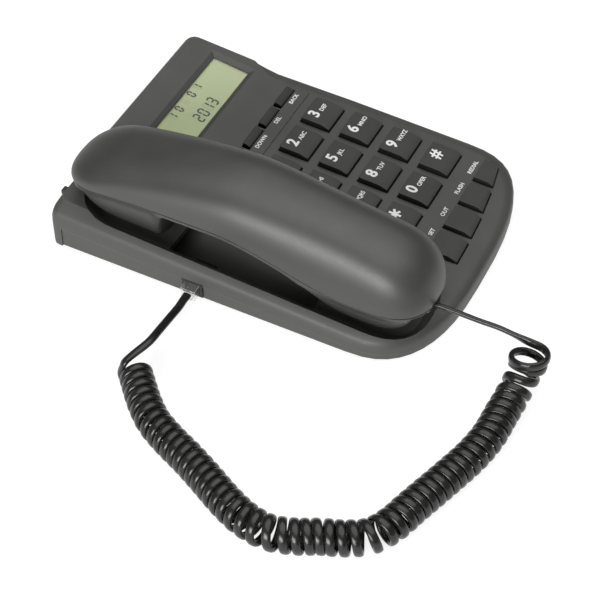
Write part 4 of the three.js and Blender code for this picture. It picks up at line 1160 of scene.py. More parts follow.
@dataclass(frozen=True)
class Word:
    """One printed word or figure.

    Attributes:
        text: what it says.
        x: its middle, or its start, along the plane in millimetres.
        y: its middle height on the plane in millimetres.
        height: the height of its capitals in millimetres.
        from_start: True if x is where it starts.
        weight: how much its strokes are thickened, as a share of its height, or the width of a
            star's bars in millimetres.
        narrow: how far it is drawn in along its line.
    """

    text: str
    x: float
    y: float
    height: float
    from_start: bool = False
    weight: float = 0.02
    narrow: float = 1.0


def word_mesh(word: Word) -> bmesh.types.BMesh:
    """Make the thin raised shape of one word.

    Args:
        word: the word.

    Returns:
        Its mesh, flat on the drawing in millimetres.
    """
    curve = bpy.data.curves.new("word", "FONT")
    curve.body = word.text
    curve.size = word.height / CAPITAL_SHARE
    curve.offset = word.weight * word.height
    curve.resolution_u = 3
    curve.align_x = "LEFT" if word.from_start else "CENTER"
    curve.extrude = INK_THICKNESS / 2
    carrier = bpy.data.objects.new("word", curve)
    bpy.context.scene.collection.objects.link(carrier)
    graph = bpy.context.evaluated_depsgraph_get()
    mesh = bpy.data.meshes.new_from_object(carrier.evaluated_get(graph))
    bm = bmesh.new()
    bm.from_mesh(mesh)
    bpy.data.objects.remove(carrier)
    bpy.data.curves.remove(curve)
    bpy.data.meshes.remove(mesh)
    bmesh.ops.remove_doubles(bm, verts=bm.verts[:], dist=LETTER_WELD)
    bmesh.ops.scale(bm, vec=(word.narrow, 1, 1), verts=bm.verts[:])
    middle = word.height / 2
    bmesh.ops.translate(bm, vec=(word.x, word.y - middle, 0), verts=bm.verts[:])
    return bm


def star_mesh(word: Word) -> bmesh.types.BMesh:
    """Make the star of the keypad from crossing bars.

    Args:
        word: where it stands, how tall it is and how wide its bars are.

    Returns:
        Its mesh, flat on the drawing in millimetres.
    """
    bm = bmesh.new()
    for k in range(STAR_BARS):
        bar = bmesh.ops.create_cube(bm, size=1.0)["verts"]
        thickness = INK_THICKNESS * (1 + STAR_STEP * k)
        bmesh.ops.scale(bm, vec=(word.weight, word.height, thickness), verts=bar)
        turn = Matrix.Rotation(math.pi / STAR_BARS * k, 3, "Z")
        bmesh.ops.rotate(bm, cent=(0, 0, 0), matrix=turn, verts=bar)
    bmesh.ops.translate(bm, vec=(word.x, word.y, 0), verts=bm.verts[:])
    return bm


def lettering(
    name: str, words: Sequence[Word], plane: Slope, lift: float, finish: bpy.types.Material
) -> bpy.types.Object:
    """Print words on a sloping plane as one piece.

    Args:
        name: the piece's name.
        words: the words.
        plane: the plane that they lie along.
        lift: how far above the plane they are printed, in millimetres.
        finish: their ink.

    Returns:
        The printed piece.
    """
    whole = bmesh.new()
    for word in words:
        bm = star_mesh(word) if word.text == "*" else word_mesh(word)
        carrier = bpy.data.meshes.new("word")
        bm.to_mesh(carrier)
        bm.free()
        whole.from_mesh(carrier)
        bpy.data.meshes.remove(carrier)
    raised = lift + INK_THICKNESS / 2 - INK_SINK
    bmesh.ops.translate(whole, vec=(0, 0, raised), verts=whole.verts[:])
    bmesh.ops.transform(whole, matrix=plane.matrix(), verts=whole.verts[:])
    return finished(name, whole, finish, PRINT_ANGLE)


# Keypad


class KeyKind(Enum):
    """The three kinds of key, with the height of their tops over the deck in millimetres."""

    MAIN = 2.75
    FUNCTION = 2.3
    SMALL = 1.7


@dataclass(frozen=True)
class KeyCap:
    """One key or button.

    Attributes:
        node: the node of the part, and the body that it rides on.
        kind: which kind of key it is.
        legend: the large sign on it, if it has one.
        letters: the small letters beside the sign.
    """

    node: str
    kind: KeyKind
    legend: str = ""
    letters: str = ""


@dataclass(frozen=True)
class CapForm:
    """How a key's cap departs from its solid.

    Attributes:
        shrink: the share of its size that it keeps along X, Y and Z.
        corner_round: the round of its standing corners, in millimetres.
        edge_round: the round of the edges of its top.
        segments: how many faces that round has across.
    """

    shrink: Place
    corner_round: float
    edge_round: float
    segments: int


FIRM_CAP = CapForm((0.975, 0.975, 1.0), corner_round=0.55, edge_round=0.28, segments=2)
SMALL_CAP = CapForm((0.88, 1.0, 1.0), corner_round=0.275, edge_round=0.56, segments=3)


@dataclass
class Keypad:
    """The keys with their signs, and the words printed on the deck.

    Attributes:
        finishes: the materials.
        columns: how many columns of main keys there are.
        column_pitch: from one column of keys to the next, in millimetres.
        row_pitch: from one row of keys to the next.
        first_left: the left edge of the first column.
        first_front: the front edge of the first row.
        lone_place: where a star or hash stands on its key, from its left and front edges.
        lone_height: how tall it is.
        star_bar: how wide the star's bars are.
        hash_weight: how much the hash's strokes are thickened.
        digit_place: where a digit stands on its key.
        digit_height: how tall it is.
        digit_weight: how much its strokes are thickened.
        letters_place: where the letters beside it start.
        letters_height: how tall they are.
        letters_weight: how much their strokes are thickened.
        letters_narrow: how far more than three letters are drawn in.
        corner_reach: how far down from the top the standing corners are rounded.
        skirt: how far over the deck the edges of the top end.
        main_keys: each main key's node, sign and letters.
        function_keys: the nodes of the function keys.
        small_buttons: the nodes of the small buttons.
        deck_rows: for each row of words on the deck its place along Y, and the words with
            their places along X.
        deck_height: how tall these words are.
        deck_weight: how much their strokes are thickened.
    """

    finishes: Finishes
    columns: int = 3
    column_pitch: float = 23.0
    row_pitch: float = 21.0
    first_left: float = -3.75
    first_front: float = 5.4
    lone_place: Span = (9.9, 11.1)
    lone_height: float = 6.2
    star_bar: float = 1.25
    hash_weight: float = 0.03
    digit_place: Span = (5.7, 11.1)
    digit_height: float = 5.6
    digit_weight: float = 0.045
    letters_place: Span = (9.2, 9.2)
    letters_height: float = 2.15
    letters_weight: float = 0.035
    letters_narrow: float = 0.92
    corner_reach: float = 2.2
    skirt: float = 0.35
    main_keys: tuple[tuple[str, str, str], ...] = (
        *(("key_1", "1", ""), ("key_2", "2", "ABC"), ("key_3", "3", "DEF")),
        *(("key_4", "4", "GHI"), ("key_5", "5", "JKL"), ("key_6", "6", "MNO")),
        *(("key_7", "7", "PQRS"), ("key_8", "8", "TUV"), ("key_9", "9", "WXYZ")),
        *(("key_star", "*", ""), ("key_0", "0", "OPER"), ("key_hash", "#", "")),
    )
    function_keys: tuple[str, ...] = ("key_set", "key_out", "key_flash", "key_redial")
    small_buttons: tuple[str, ...] = ("button_up", "button_down", "button_delete", "button_back")
    deck_rows: tuple[tuple[float, tuple[tuple[str, float], ...]], ...] = (
        (-65.3, (("SET", 6.8), ("OUT", 21.6), ("FLASH", 39.2), ("REDIAL", 55.4))),
        (31.1, (("UP", 3.6), ("DOWN", 20.3), ("DEL", 37.6), ("BACK", 55.0))),
    )
    deck_height: float = 2.05
    deck_weight: float = 0.03

    def caps(self) -> list[KeyCap]:
        """List every key and button.

        Returns:
            The main keys row by row, then the function keys and the small buttons.
        """
        caps = [KeyCap(node, KeyKind.MAIN, *signs) for node, *signs in self.main_keys]
        caps += [KeyCap(node, KeyKind.FUNCTION) for node in self.function_keys]
        caps += [KeyCap(node, KeyKind.SMALL) for node in self.small_buttons]
        return caps

    def build_cap(self, cap: KeyCap) -> None:
        """Copy one key cap, draw it in a little and round its corners and top edges.

        Args:
            cap: the key or button.
        """
        small = cap.kind is KeyKind.SMALL
        form = SMALL_CAP if small else FIRM_CAP
        bm = copied(cap.node)
        up = DECK.matrix().to_3x3().normalized() @ Vector((0, 0, 1))
        middle = sum((vert.co for vert in bm.verts), Vector()) / len(bm.verts)
        bmesh.ops.translate(bm, vec=-middle, verts=bm.verts[:])
        bmesh.ops.scale(bm, vec=form.shrink, verts=bm.verts[:])
        bmesh.ops.translate(bm, vec=middle, verts=bm.verts[:])
        top = max(vert.co.dot(up) for vert in bm.verts)
        low = top - self.corner_reach * MM
        standing = [
            edge
            for edge in bm.edges
            if uprightness(edge, up) > 0.99 and max(vert.co.dot(up) for vert in edge.verts) > low
        ]
        rounded(bm, standing, form.corner_round * MM, 3)
        low = top - (cap.kind.value - self.skirt) * MM
        rim = [
            edge
            for edge in sharp_edges(bm)
            if len(edge.link_faces) == 2
            and all(vert.co.dot(up) > low for vert in edge.verts)
            and uprightness(edge, up) < 0.5
        ]
        rounded(bm, rim, form.edge_round * MM, form.segments)
        finish = self.finishes.button if small else self.finishes.key
        piece = finished("cap_" + cap.node, bm, finish, smooth_angle=30.0)
        settled(evened(piece), cap.node, [cap.node])

    def legend_words(self, cap: KeyCap, column: int, row: int) -> list[Word]:
        """Lay out the sign and the letters of one main key.

        Args:
            cap: the key.
            column: its column, counted from the left.
            row: its row, counted from the back.

        Returns:
            The words printed on it.
        """
        left = self.first_left + column * self.column_pitch
        front = self.first_front - row * self.row_pitch
        if cap.legend in ("*", "#"):
            x, y = self.lone_place
            weight = self.star_bar if cap.legend == "*" else self.hash_weight
            return [Word(cap.legend, left + x, front + y, self.lone_height, weight=weight)]
        x, y = self.digit_place
        weight = self.digit_weight
        words = [Word(cap.legend, left + x, front + y, self.digit_height, weight=weight)]
        if cap.letters:
            x, y = self.letters_place
            words.append(
                Word(
                    cap.letters,
                    left + x,
                    front + y,
                    self.letters_height,
                    from_start=True,
                    weight=self.letters_weight,
                    narrow=self.letters_narrow if len(cap.letters) > 3 else 1.0,
                )
            )
        return words

    def build(self) -> None:
        """Build the caps, their signs and the words on the deck."""
        caps = self.caps()
        for number, cap in enumerate(caps):
            self.build_cap(cap)
            if cap.kind is KeyKind.MAIN:
                words = self.legend_words(cap, number % self.columns, number // self.columns)
                name = "legend_" + cap.node
                sign = lettering(name, words, DECK, cap.kind.value, self.finishes.ink)
                settled(sign, cap.node)
        words = [
            Word(text, x, y, self.deck_height, weight=self.deck_weight)
            for y, row in self.deck_rows
            for text, x in row
        ]
        printed = lettering("legend_deck", words, DECK, 0.0, self.finishes.ink)
        settled(printed, "base")
        log.info("keypad: %d keys and buttons", len(caps))


# Display

# The bars of each figure, by the letters that seven-bar figures are drawn with
SEGMENTS: dict[str, str] = {
    "0": "abcdef",
    "1": "bc",
    "2": "abged",
    "3": "abgcd",
    "8": "abcdefg",
    " ": "",
}


@dataclass(frozen=True)
class FigureRow:
    """One row of figures on the display, in millimetres on the console's plane.

    Attributes:
        text: the figures.
        x: the left edge of the first one.
        y: their lower edge.
        height: how tall they are.
        pitch: from one to the next.
    """

    text: str
    x: float
    y: float
    height: float
    pitch: float


@dataclass
class Display:
    """The window, the panel under it and its figures.

    Attributes:
        finishes: the materials.
        window_round: the round of the window's edges, in millimetres.
        panel_drop: the panel's depth under the console's plane.
        bar: the thickness of a figure's bars.
        bar_gap: how far a bar ends before a figure's corner.
        slimness: a figure's width as a share of its height.
        figure_lift: how far the shown figures lie over the panel.
        rows: the figures that are shown.
    """

    finishes: Finishes
    window_round: float = 0.2
    panel_drop: float = 2.7
    bar: float = 0.95
    bar_gap: float = 0.06
    slimness: float = 0.46
    figure_lift: float = 0.04
    rows: tuple[FigureRow, ...] = (
        FigureRow("10 01", 13.4, 27.0, 4.3, 6.1),
        FigureRow("2013", 19.3, 15.3, 5.7, 4.6),
    )

    def figure(self, sign: str, x: float, row: FigureRow) -> list[Ring]:
        """Lay out the bars of one figure.

        Args:
            sign: the figure.
            x: its left edge on the console's plane.
            row: the row that it stands in.

        Returns:
            The outline of each bar.
        """
        right = x + row.height * self.slimness
        low, middle, high = row.y, row.y + row.height / 2, row.y + row.height
        ends = {
            "a": ((x, high), (right, high)),
            "g": ((x, middle), (right, middle)),
            "d": ((x, low), (right, low)),
            "f": ((x, middle), (x, high)),
            "b": ((right, middle), (right, high)),
            "e": ((x, low), (x, middle)),
            "c": ((right, low), (right, middle)),
        }
        half = self.bar / 2
        bars = []
        for key in SEGMENTS[sign]:
            (x0, y0), (x1, y1) = ends[key]
            along = Vector((x1 - x0, y1 - y0, 0)).normalized()
            side = Vector((-along.y, along.x, 0)) * half
            start = Vector((x0, y0, 0)) + along * self.bar_gap
            end = Vector((x1, y1, 0)) - along * self.bar_gap
            near, far = start + along * half, end - along * half
            bars.append([start, near - side, far - side, end, far + side, near + side])
        return bars

    def figures(
        self, name: str, rows: Sequence[FigureRow], lift: float, finish: bpy.types.Material
    ) -> None:
        """Make figures in rows as one piece.

        Args:
            name: the piece's name.
            rows: the rows.
            lift: how far over the panel they lie, in millimetres.
            finish: their material.
        """
        bm = bmesh.new()
        for row in rows:
            for place, sign in enumerate(row.text):
                for bar in self.figure(sign, row.x + place * row.pitch, row):
                    bm.faces.new([bm.verts.new(point) for point in bar])
        grown = bmesh.ops.extrude_face_region(bm, geom=bm.faces[:])["geom"]
        top = [item for item in grown if isinstance(item, bmesh.types.BMVert)]
        bmesh.ops.translate(bm, vec=(0, 0, INK_THICKNESS), verts=top)
        bmesh.ops.recalc_face_normals(bm, faces=bm.faces[:])
        bmesh.ops.translate(bm, vec=(0, 0, lift - self.panel_drop), verts=bm.verts[:])
        bmesh.ops.transform(bm, matrix=CONSOLE.matrix(), verts=bm.verts[:])
        settled(finished(name, bm, finish, PRINT_ANGLE), "base")

    def build(self) -> None:
        """Copy the window with rounded edges and lay the figures on the panel."""
        bm = copied("display_window")
        rounded(bm, sharp_edges(bm), self.window_round * MM, 2)
        window = finished("display_window_lens", bm, self.finishes.window, smooth_angle=30.0)
        settled(window, "base", ["display_window"])
        clothe(["lcd_module"], self.finishes.crystal)
        ghosts = [replace(row, text="8" * len(row.text)) for row in self.rows]
        self.figures("display_ghosts", ghosts, 0.0, self.finishes.crystal_ghost)
        self.figures(
            "display_figures", self.rows, self.figure_lift, self.finishes.crystal_dark
        )
        log.info("display: window, panel and figures")


# Handset


@dataclass
class Handset:
    """The handset's two shells, with what they hold.

    Attributes:
        finishes: the materials.
        centre_x: the handset's middle line, in the drawing.
        half_width: half of its width, in millimetres.
        front_y: its front end, where the mouthpiece is.
        back_y: its back end, where the earpiece is.
        end_length: how long each rounded end is.
        end_power: how square the ends are, 2 for round ones.
        crown_peak: the crown's greatest height over the table.
        crown_y: where along the handset it has it.
        back_fall: how far the crown falls behind that place, over what length and how late.
        front_fall: the same in front of it.
        seam_mouth: the height of the seam at the mouthpiece.
        seam_grip: its height along the grip.
        seam_rise: where the seam starts to rise, and over what length.
        seam_fall: where it starts to fall again, over what length and how far.
        arch_power: how square the crown's section is.
        grip_depth: how deep the lower shell is along the grip.
        grip_power: how square its section is there.
        pod_power: how square the section of the pods is.
        pod_narrow: how far the sides of the pods are drawn in below.
        pod_inset: how far the ends of the pods are set back under the crown.
        pod_lip: how tall the lip is that the pods stand under.
        pod_step: how far the sides of the pods are set back under that lip.
        ear_pod: where the ear's pod starts, and over what length it comes out.
        mouth_pod: the same for the mouth's pod.
        wall: the thickness of the shells.
        well_depth: how deep the cradle's wells are, square to the deck.
        pod_lift: how far the pods stay clear of them.
        seam_gap: how tall the seam is.
        seam_step: how far the lower shell is set in at the seam.
        across: how many faces a section has across.
        stations: how many steps the middle of the handset has.
        end_stations: how many steps each end has.
        jack_low: the lowest corner of the opening for the socket.
        jack_high: its highest corner.
        sound_holes: the middle of each ring of sound holes, and how many it has.
        sound_ring: the radius of such a ring.
        sound_radius: the radius of a hole.
        screw_wells: where the wells of the screws are.
        well_radius: their radius.
        rim_round: the round of the shells' rims.
        rim_angle: the least angle in degrees of an edge that gets it.
    """

    finishes: Finishes
    centre_x: float = -39.75
    half_width: float = 23.0
    front_y: float = -89.0
    back_y: float = 94.0
    end_length: float = 26.0
    end_power: float = 2.5
    crown_peak: float = 62.0
    crown_y: float = 5.0
    back_fall: Place = (12.8, 71.0, 1.6)
    front_fall: Place = (10.0, 75.0, 1.4)
    seam_mouth: float = 27.2
    seam_grip: float = 41.7
    seam_rise: Span = (-58.0, 72.0)
    seam_fall: Place = (45.0, 39.0, 3.5)
    arch_power: float = 2.5
    grip_depth: float = 6.0
    grip_power: float = 3.0
    pod_power: float = 3.6
    pod_narrow: float = 1.2
    pod_inset: float = 7.0
    pod_lip: float = 2.4
    pod_step: float = 3.4
    ear_pod: Span = (38.0, 7.0)
    mouth_pod: Span = (-21.0, 30.0)
    wall: float = 2.2
    well_depth: float = 7.2
    pod_lift: float = 0.3
    seam_gap: float = 0.95
    seam_step: float = 0.35
    across: int = 56
    stations: int = 60
    end_stations: int = 16
    jack_low: Place = (-47.1, -120.0, 19.0)
    jack_high: Place = (-35.9, -68.7, 27.8)
    sound_holes: tuple[tuple[float, int], ...] = ((67.5, 6), (-68.8, 3))
    sound_ring: float = 5.0
    sound_radius: float = 1.1
    screw_wells: Span = (46.8, -52.0)
    well_radius: float = 2.9
    rim_round: float = 0.3
    rim_angle: float = 60.0

    def crown_z(self, y: float) -> float:
        """Return the height of the crown.

        Args:
            y: the place along the handset.

        Returns:
            The height over the table in millimetres.
        """
        away = y - self.crown_y
        fall, span, power = self.back_fall if away > 0 else self.front_fall
        return self.crown_peak - fall * (abs(away) / span) ** power

    def seam_z(self, y: float) -> float:
        """Return the height of the seam between the shells.

        Args:
            y: the place along the handset.

        Returns:
            The height over the table in millimetres.
        """
        start, length = self.seam_rise
        ear_y, span, fall = self.seam_fall
        rise = smooth((y - start) / length)
        past = max(y - ear_y, 0.0) / span
        return self.seam_mouth + (self.seam_grip - self.seam_mouth) * rise - fall * past**2

    def pod_z(self, y: float) -> float:
        """Return the height of the undersides of the pods."""
        return DECK.height(y) - self.well_depth * math.sqrt(1 + DECK.rise**2) + self.pod_lift

    def pod_share(self, y: float) -> float:
        """Return how far a station belongs to a pod and not to the grip.

        Args:
            y: the place along the handset.

        Returns:
            A share from 0 for the grip to 1 for a pod.
        """
        ear = smooth((y - self.ear_pod[0]) / self.ear_pod[1])
        mouth = smooth((self.mouth_pod[0] - y) / self.mouth_pod[1])
        return max(ear, mouth)

    def end_share(self, y: float, inset: float = 0.0) -> float:
        """Return how wide the handset still is near its rounded ends.

        Args:
            y: the place along the handset.
            inset: how much nearer to the middle the ends are taken to be.

        Returns:
            A share from 0 at an end to 1 along the middle.
        """
        front, back = self.front_y + inset, self.back_y - inset
        past = max(front + self.end_length - y, y - back + self.end_length, 0.0)
        share = min(past / self.end_length, 1.0)
        return (1 - share**self.end_power) ** (1 / self.end_power)

    def places(self) -> list[float]:
        """List the stations along the handset, closer together towards its ends.

        Returns:
            Their places, from the front to the back.
        """
        front, back = self.front_y + self.end_length, self.back_y - self.end_length
        ends = []
        for k in range(self.end_stations + 1):
            turn = math.pi / 2 * (1 - k / self.end_stations)
            ends.append(self.end_length * math.sin(turn) ** (2 / self.end_power))
        places = [front - reach for reach in ends]
        for k in range(1, self.stations):
            places.append(front + (back - front) * k / self.stations)
        places += [back + reach for reach in reversed(ends)]
        return places

    def arch(self, turn: float, reach: float, rise: float, power: float) -> Span:
        """Return a point of a rounded arch, across and up."""
        across = signed_power(math.cos(turn), 2 / power) * reach
        return across, abs(math.sin(turn)) ** (2 / power) * rise

    def top_ring(self, y: float) -> Ring:
        """Return the section of the top shell.

        Args:
            y: the place along the handset.

        Returns:
            The section's points, from one rim over the crown to the other.
        """
        end = self.end_share(y)
        reach = self.half_width * end
        seam = self.seam_z(y)
        rise = (self.crown_z(y) - seam) * end
        ring = []
        for k in range(self.across + 1):
            turn = math.pi * k / self.across
            x, z = self.arch(turn, reach, rise, self.arch_power)
            ring.append(at(self.centre_x + x, y, seam + z))
        return ring

    def bottom_ring(self, y: float) -> Ring:
        """Return the section of the bottom shell.

        Args:
            y: the place along the handset.

        Returns:
            The section's points, from one rim under the grip or pod to the other.
        """
        end = self.end_share(y)
        pod = self.pod_share(y)
        reach = (self.half_width - self.seam_step) * end
        top = self.seam_z(y) - self.seam_gap
        grip_z = self.seam_z(y) - self.grip_depth
        sole = grip_z + (self.pod_z(y) - grip_z) * pod
        fall = self.pod_lip * end + (top - sole - self.pod_lip) * self.end_share(y, self.pod_inset)
        power = self.grip_power + (self.pod_power - self.grip_power) * pod
        ring = []
        for k in range(self.across + 1):
            turn = math.pi * k / self.across
            x, z = self.arch(turn, reach, fall, power)
            drawn = self.pod_narrow * math.sin(turn)
            drawn += self.pod_step * smooth((z - self.pod_lip) / self.pod_lip)
            narrow = 1 - drawn * pod / self.half_width
            ring.append(at(self.centre_x + x * narrow, y, top - z))
        return ring

    def skin(self, ring_at: Callable[[float], Ring]) -> bmesh.types.BMesh:
        """Draw the outer skin of a shell and cut its opening for the socket.

        Args:
            ring_at: gives the section at a station.

        Returns:
            The skin, facing outwards.
        """
        bm = sheet_of_rings([ring_at(y) for y in self.places()], closed=False)
        bmesh.ops.recalc_face_normals(bm, faces=bm.faces[:])
        middle = sum((vert.co for vert in bm.verts), Vector()) / len(bm.verts)
        outward = sum(face.normal.dot(face.calc_center_median() - middle) for face in bm.faces)
        if outward < 0:
            bmesh.ops.reverse_faces(bm, faces=bm.faces[:])
        open_box(bm, at(*self.jack_low), at(*self.jack_high))
        return bm

    def shell(self, name: str, bm: bmesh.types.BMesh) -> bpy.types.Object:
        """Give a skin its wall and its rounded rim.

        Args:
            name: the piece's name.
            bm: the skin.

        Returns:
            The shell.
        """
        piece = finished(name, bm, self.finishes.handset, smooth_angle=50.0)
        wall = piece.modifiers.new("wall", "SOLIDIFY")
        wall.thickness = self.wall * MM
        wall.offset = -1
        wall.use_even_offset = False
        rim = piece.modifiers.new("rim", "BEVEL")
        rim.width = self.rim_round * MM
        rim.segments = 2
        rim.limit_method = "ANGLE"
        rim.angle_limit = math.radians(self.rim_angle)
        return piece

    def open_pods(self, bm: bmesh.types.BMesh) -> None:
        """Cut the sound holes and the screw wells in the undersides of the pods.

        Args:
            bm: the skin of the bottom shell, which is changed.
        """
        for middle, count in self.sound_holes:
            for k in range(count):
                turn = 2 * math.pi * k / count
                y = middle + self.sound_ring * math.sin(turn)
                x = self.centre_x + self.sound_ring * math.cos(turn)
                open_round(bm, at(x, y, self.pod_z(y)), self.sound_radius * MM, sides=8)
        for y in self.screw_wells:
            place = at(self.centre_x, y, self.pod_z(y))
            open_round(bm, place, self.well_radius * MM, sides=12)

    def build(self) -> None:
        """Build both shells."""
        top = self.shell("handset_crown", self.skin(self.top_ring))
        lower = self.skin(self.bottom_ring)
        self.open_pods(lower)
        bottom = self.shell("handset_grip", lower)
        settled(top, "handset", ["handset_top_shell"])
        settled(bottom, "handset", ["handset_bottom_shell"])
        log.info("handset: two shells")

    def dress(self) -> None:
        """Give the nodes in the handset their materials."""
        clothe(["earpiece_speaker", "microphone"], self.finishes.paper)
        clothe(["handset_screw_ear", "handset_screw_mouth"], self.finishes.screw)
        clothe(["handset_socket"], self.finishes.socket)


# Plugs and cord

# The middle of each plug's outer face, where the lead goes in
BASE_PLUG_FACE: Place = (-71.65, 21.0, 5.6)
HANDSET_PLUG_FACE: Place = (-41.5, -86.4, 23.4)


@dataclass
class ModularPlug:
    """One clear plug with its contacts.

    Attributes:
        finishes: the materials.
        node: the node that it replaces.
        body: the body that carries it.
        turn: its turn about Z in degrees; at 0 it goes in towards +X.
        place: the middle of its outer face.
        edge_round: the round of its edges, in millimetres.
        blades: how many contacts it has.
        blade_size: a contact's length, width and height.
        blade_pitch: from one contact to the next.
        blade_place: how far in and how far up the middle of the contacts is.
        blade_round: the round of their edges.
    """

    finishes: Finishes
    node: str
    body: str
    turn: float
    place: Place
    edge_round: float = 0.22
    blades: int = 4
    blade_size: Place = (3.2, 0.32, 2.4)
    blade_pitch: float = 1.02
    blade_place: Span = (11.8, 1.3)
    blade_round: float = 0.05

    def matrix(self) -> Matrix:
        """Return the move of the plug from its drawing to its place."""
        turn = Matrix.Rotation(math.radians(self.turn), 4, "Z")
        return Matrix.Translation(at(*self.place)) @ turn

    def build(self) -> bpy.types.Object:
        """Build the plug's clear body and its contacts.

        Returns:
            The clear body.
        """
        bm = copied(self.node)
        rounded(bm, sharp_edges(bm), self.edge_round * MM, 2)
        clear = finished(self.node + "_clear", bm, self.finishes.plug, smooth_angle=30.0)
        settled(clear, self.body, [self.node])
        bm = bmesh.new()
        inward, upward = self.blade_place
        for k in range(self.blades):
            y = (k - (self.blades - 1) / 2) * self.blade_pitch
            blade = bmesh.ops.create_cube(bm, size=1.0)["verts"]
            bmesh.ops.scale(bm, vec=self.blade_size, verts=blade)
            bmesh.ops.translate(bm, vec=(inward, y, upward), verts=blade)
        bmesh.ops.scale(bm, vec=(MM, MM, MM), verts=bm.verts[:])
        rounded(bm, bm.edges[:], self.blade_round * MM, 1)
        bmesh.ops.transform(bm, matrix=self.matrix(), verts=bm.verts[:])
        contacts = finished(self.node + "_contacts", bm, self.finishes.contact, smooth_angle=30.0)
        settled(contacts, self.body)
        return clear


# The points that the coil's axis passes, from the base's end to the handset's
COIL_ROUTE: tuple[Place, ...] = (
    (-123.4, 18.4, 7.85), (-129.1, 13.1, 7.85), (-136.9, 5.6, 7.85),
    (-144, -2.9, 7.85), (-149.6, -13.4, 7.85), (-155.1, -26.2, 7.85),
    (-161.1, -38.5, 7.85), (-167.1, -50.3, 7.85), (-171.6, -62, 7.85),
    (-172.9, -73.4, 7.85), (-169.9, -83.8, 7.85), (-165.4, -93, 7.85),
    (-161.6, -102.4, 7.85), (-155.9, -111, 7.85), (-146.6, -116.4, 7.85),
    (-136, -119.8, 7.85), (-115.3, -126.7, 7.85), (-99.1, -131.6, 7.85),
    (-86.3, -133.8, 8), (-74.5, -134.1, 8.4), (-67.8, -134.5, 9),
    (-62.2, -134.8, 10.2), (-57.4, -135.2, 12.2), (-53.9, -135.7, 15.4),
    (-51, -136.1, 19.2), (-49.6, -135.8, 23.8),
)


def spline(points: Sequence[Vector], samples_per_span: int) -> list[Vector]:
    """Draw a smooth line through points, a centripetal Catmull-Rom spline.

    Args:
        points: the points that it passes.
        samples_per_span: how finely each span is drawn.

    Returns:
        The line's points, without even spacing.
    """
    ends = [points[0] * 2 - points[1], *points, points[-1] * 2 - points[-2]]
    line = []
    for p0, p1, p2, p3 in zip(ends, ends[1:], ends[2:], ends[3:]):
        steps = [max((b - a).length, 1e-4) ** 0.5 for a, b in ((p0, p1), (p1, p2), (p2, p3))]
        first = (p1 - p0) / steps[0] - (p2 - p0) / (steps[0] + steps[1]) + (p2 - p1) / steps[1]
        last = (p2 - p1) / steps[1] - (p3 - p1) / (steps[1] + steps[2]) + (p3 - p2) / steps[2]
        first, last = first * steps[1], last * steps[1]
        for k in range(samples_per_span):
            t = k / samples_per_span
            line.append(
                p1 * (2 * t**3 - 3 * t**2 + 1)
                + first * (t**3 - 2 * t**2 + t)
                + p2 * (-2 * t**3 + 3 * t**2)
                + last * (t**3 - t**2)
            )
    line.append(points[-1].copy())
    return line


def evenly(line: Sequence[Vector], count: int) -> tuple[list[Vector], float]:
    """Space points evenly along a line.

    Args:
        line: the line's points.
        count: how many steps to make.

    Returns:
        The count + 1 points, and the line's length.
    """
    sums = [0.0]
    for a, b in zip(line, line[1:]):
        sums.append(sums[-1] + (b - a).length)
    spaced, span = [], 0
    for k in range(count + 1):
        goal = sums[-1] * k / count
        while span < len(line) - 2 and sums[span + 1] < goal:
            span += 1
        share = (goal - sums[span]) / max(sums[span + 1] - sums[span], 1e-9)
        spaced.append(line[span].lerp(line[span + 1], min(share, 1.0)))
    return spaced, sums[-1]


@dataclass(frozen=True)
class CoilAxis:
    """The line that the coil winds round, at evenly spaced samples.

    Attributes:
        places: its points, in millimetres in the drawing.
        tangents: its direction at each.
        normals: a direction square to it at each, which turns as little as it can.
        binormals: the direction square to both.
        length: how long it is.
    """

    places: list[Vector]
    tangents: list[Vector]
    normals: list[Vector]
    binormals: list[Vector]
    length: float

    def heading(self, k: int, direction: Vector) -> float:
        """Return the turn round the axis at which the lead points a given way.

        Args:
            k: the sample.
            direction: the way.

        Returns:
            The turn in radians.
        """
        out = direction.cross(self.tangents[k])
        return math.atan2(out.dot(self.binormals[k]), out.dot(self.normals[k]))


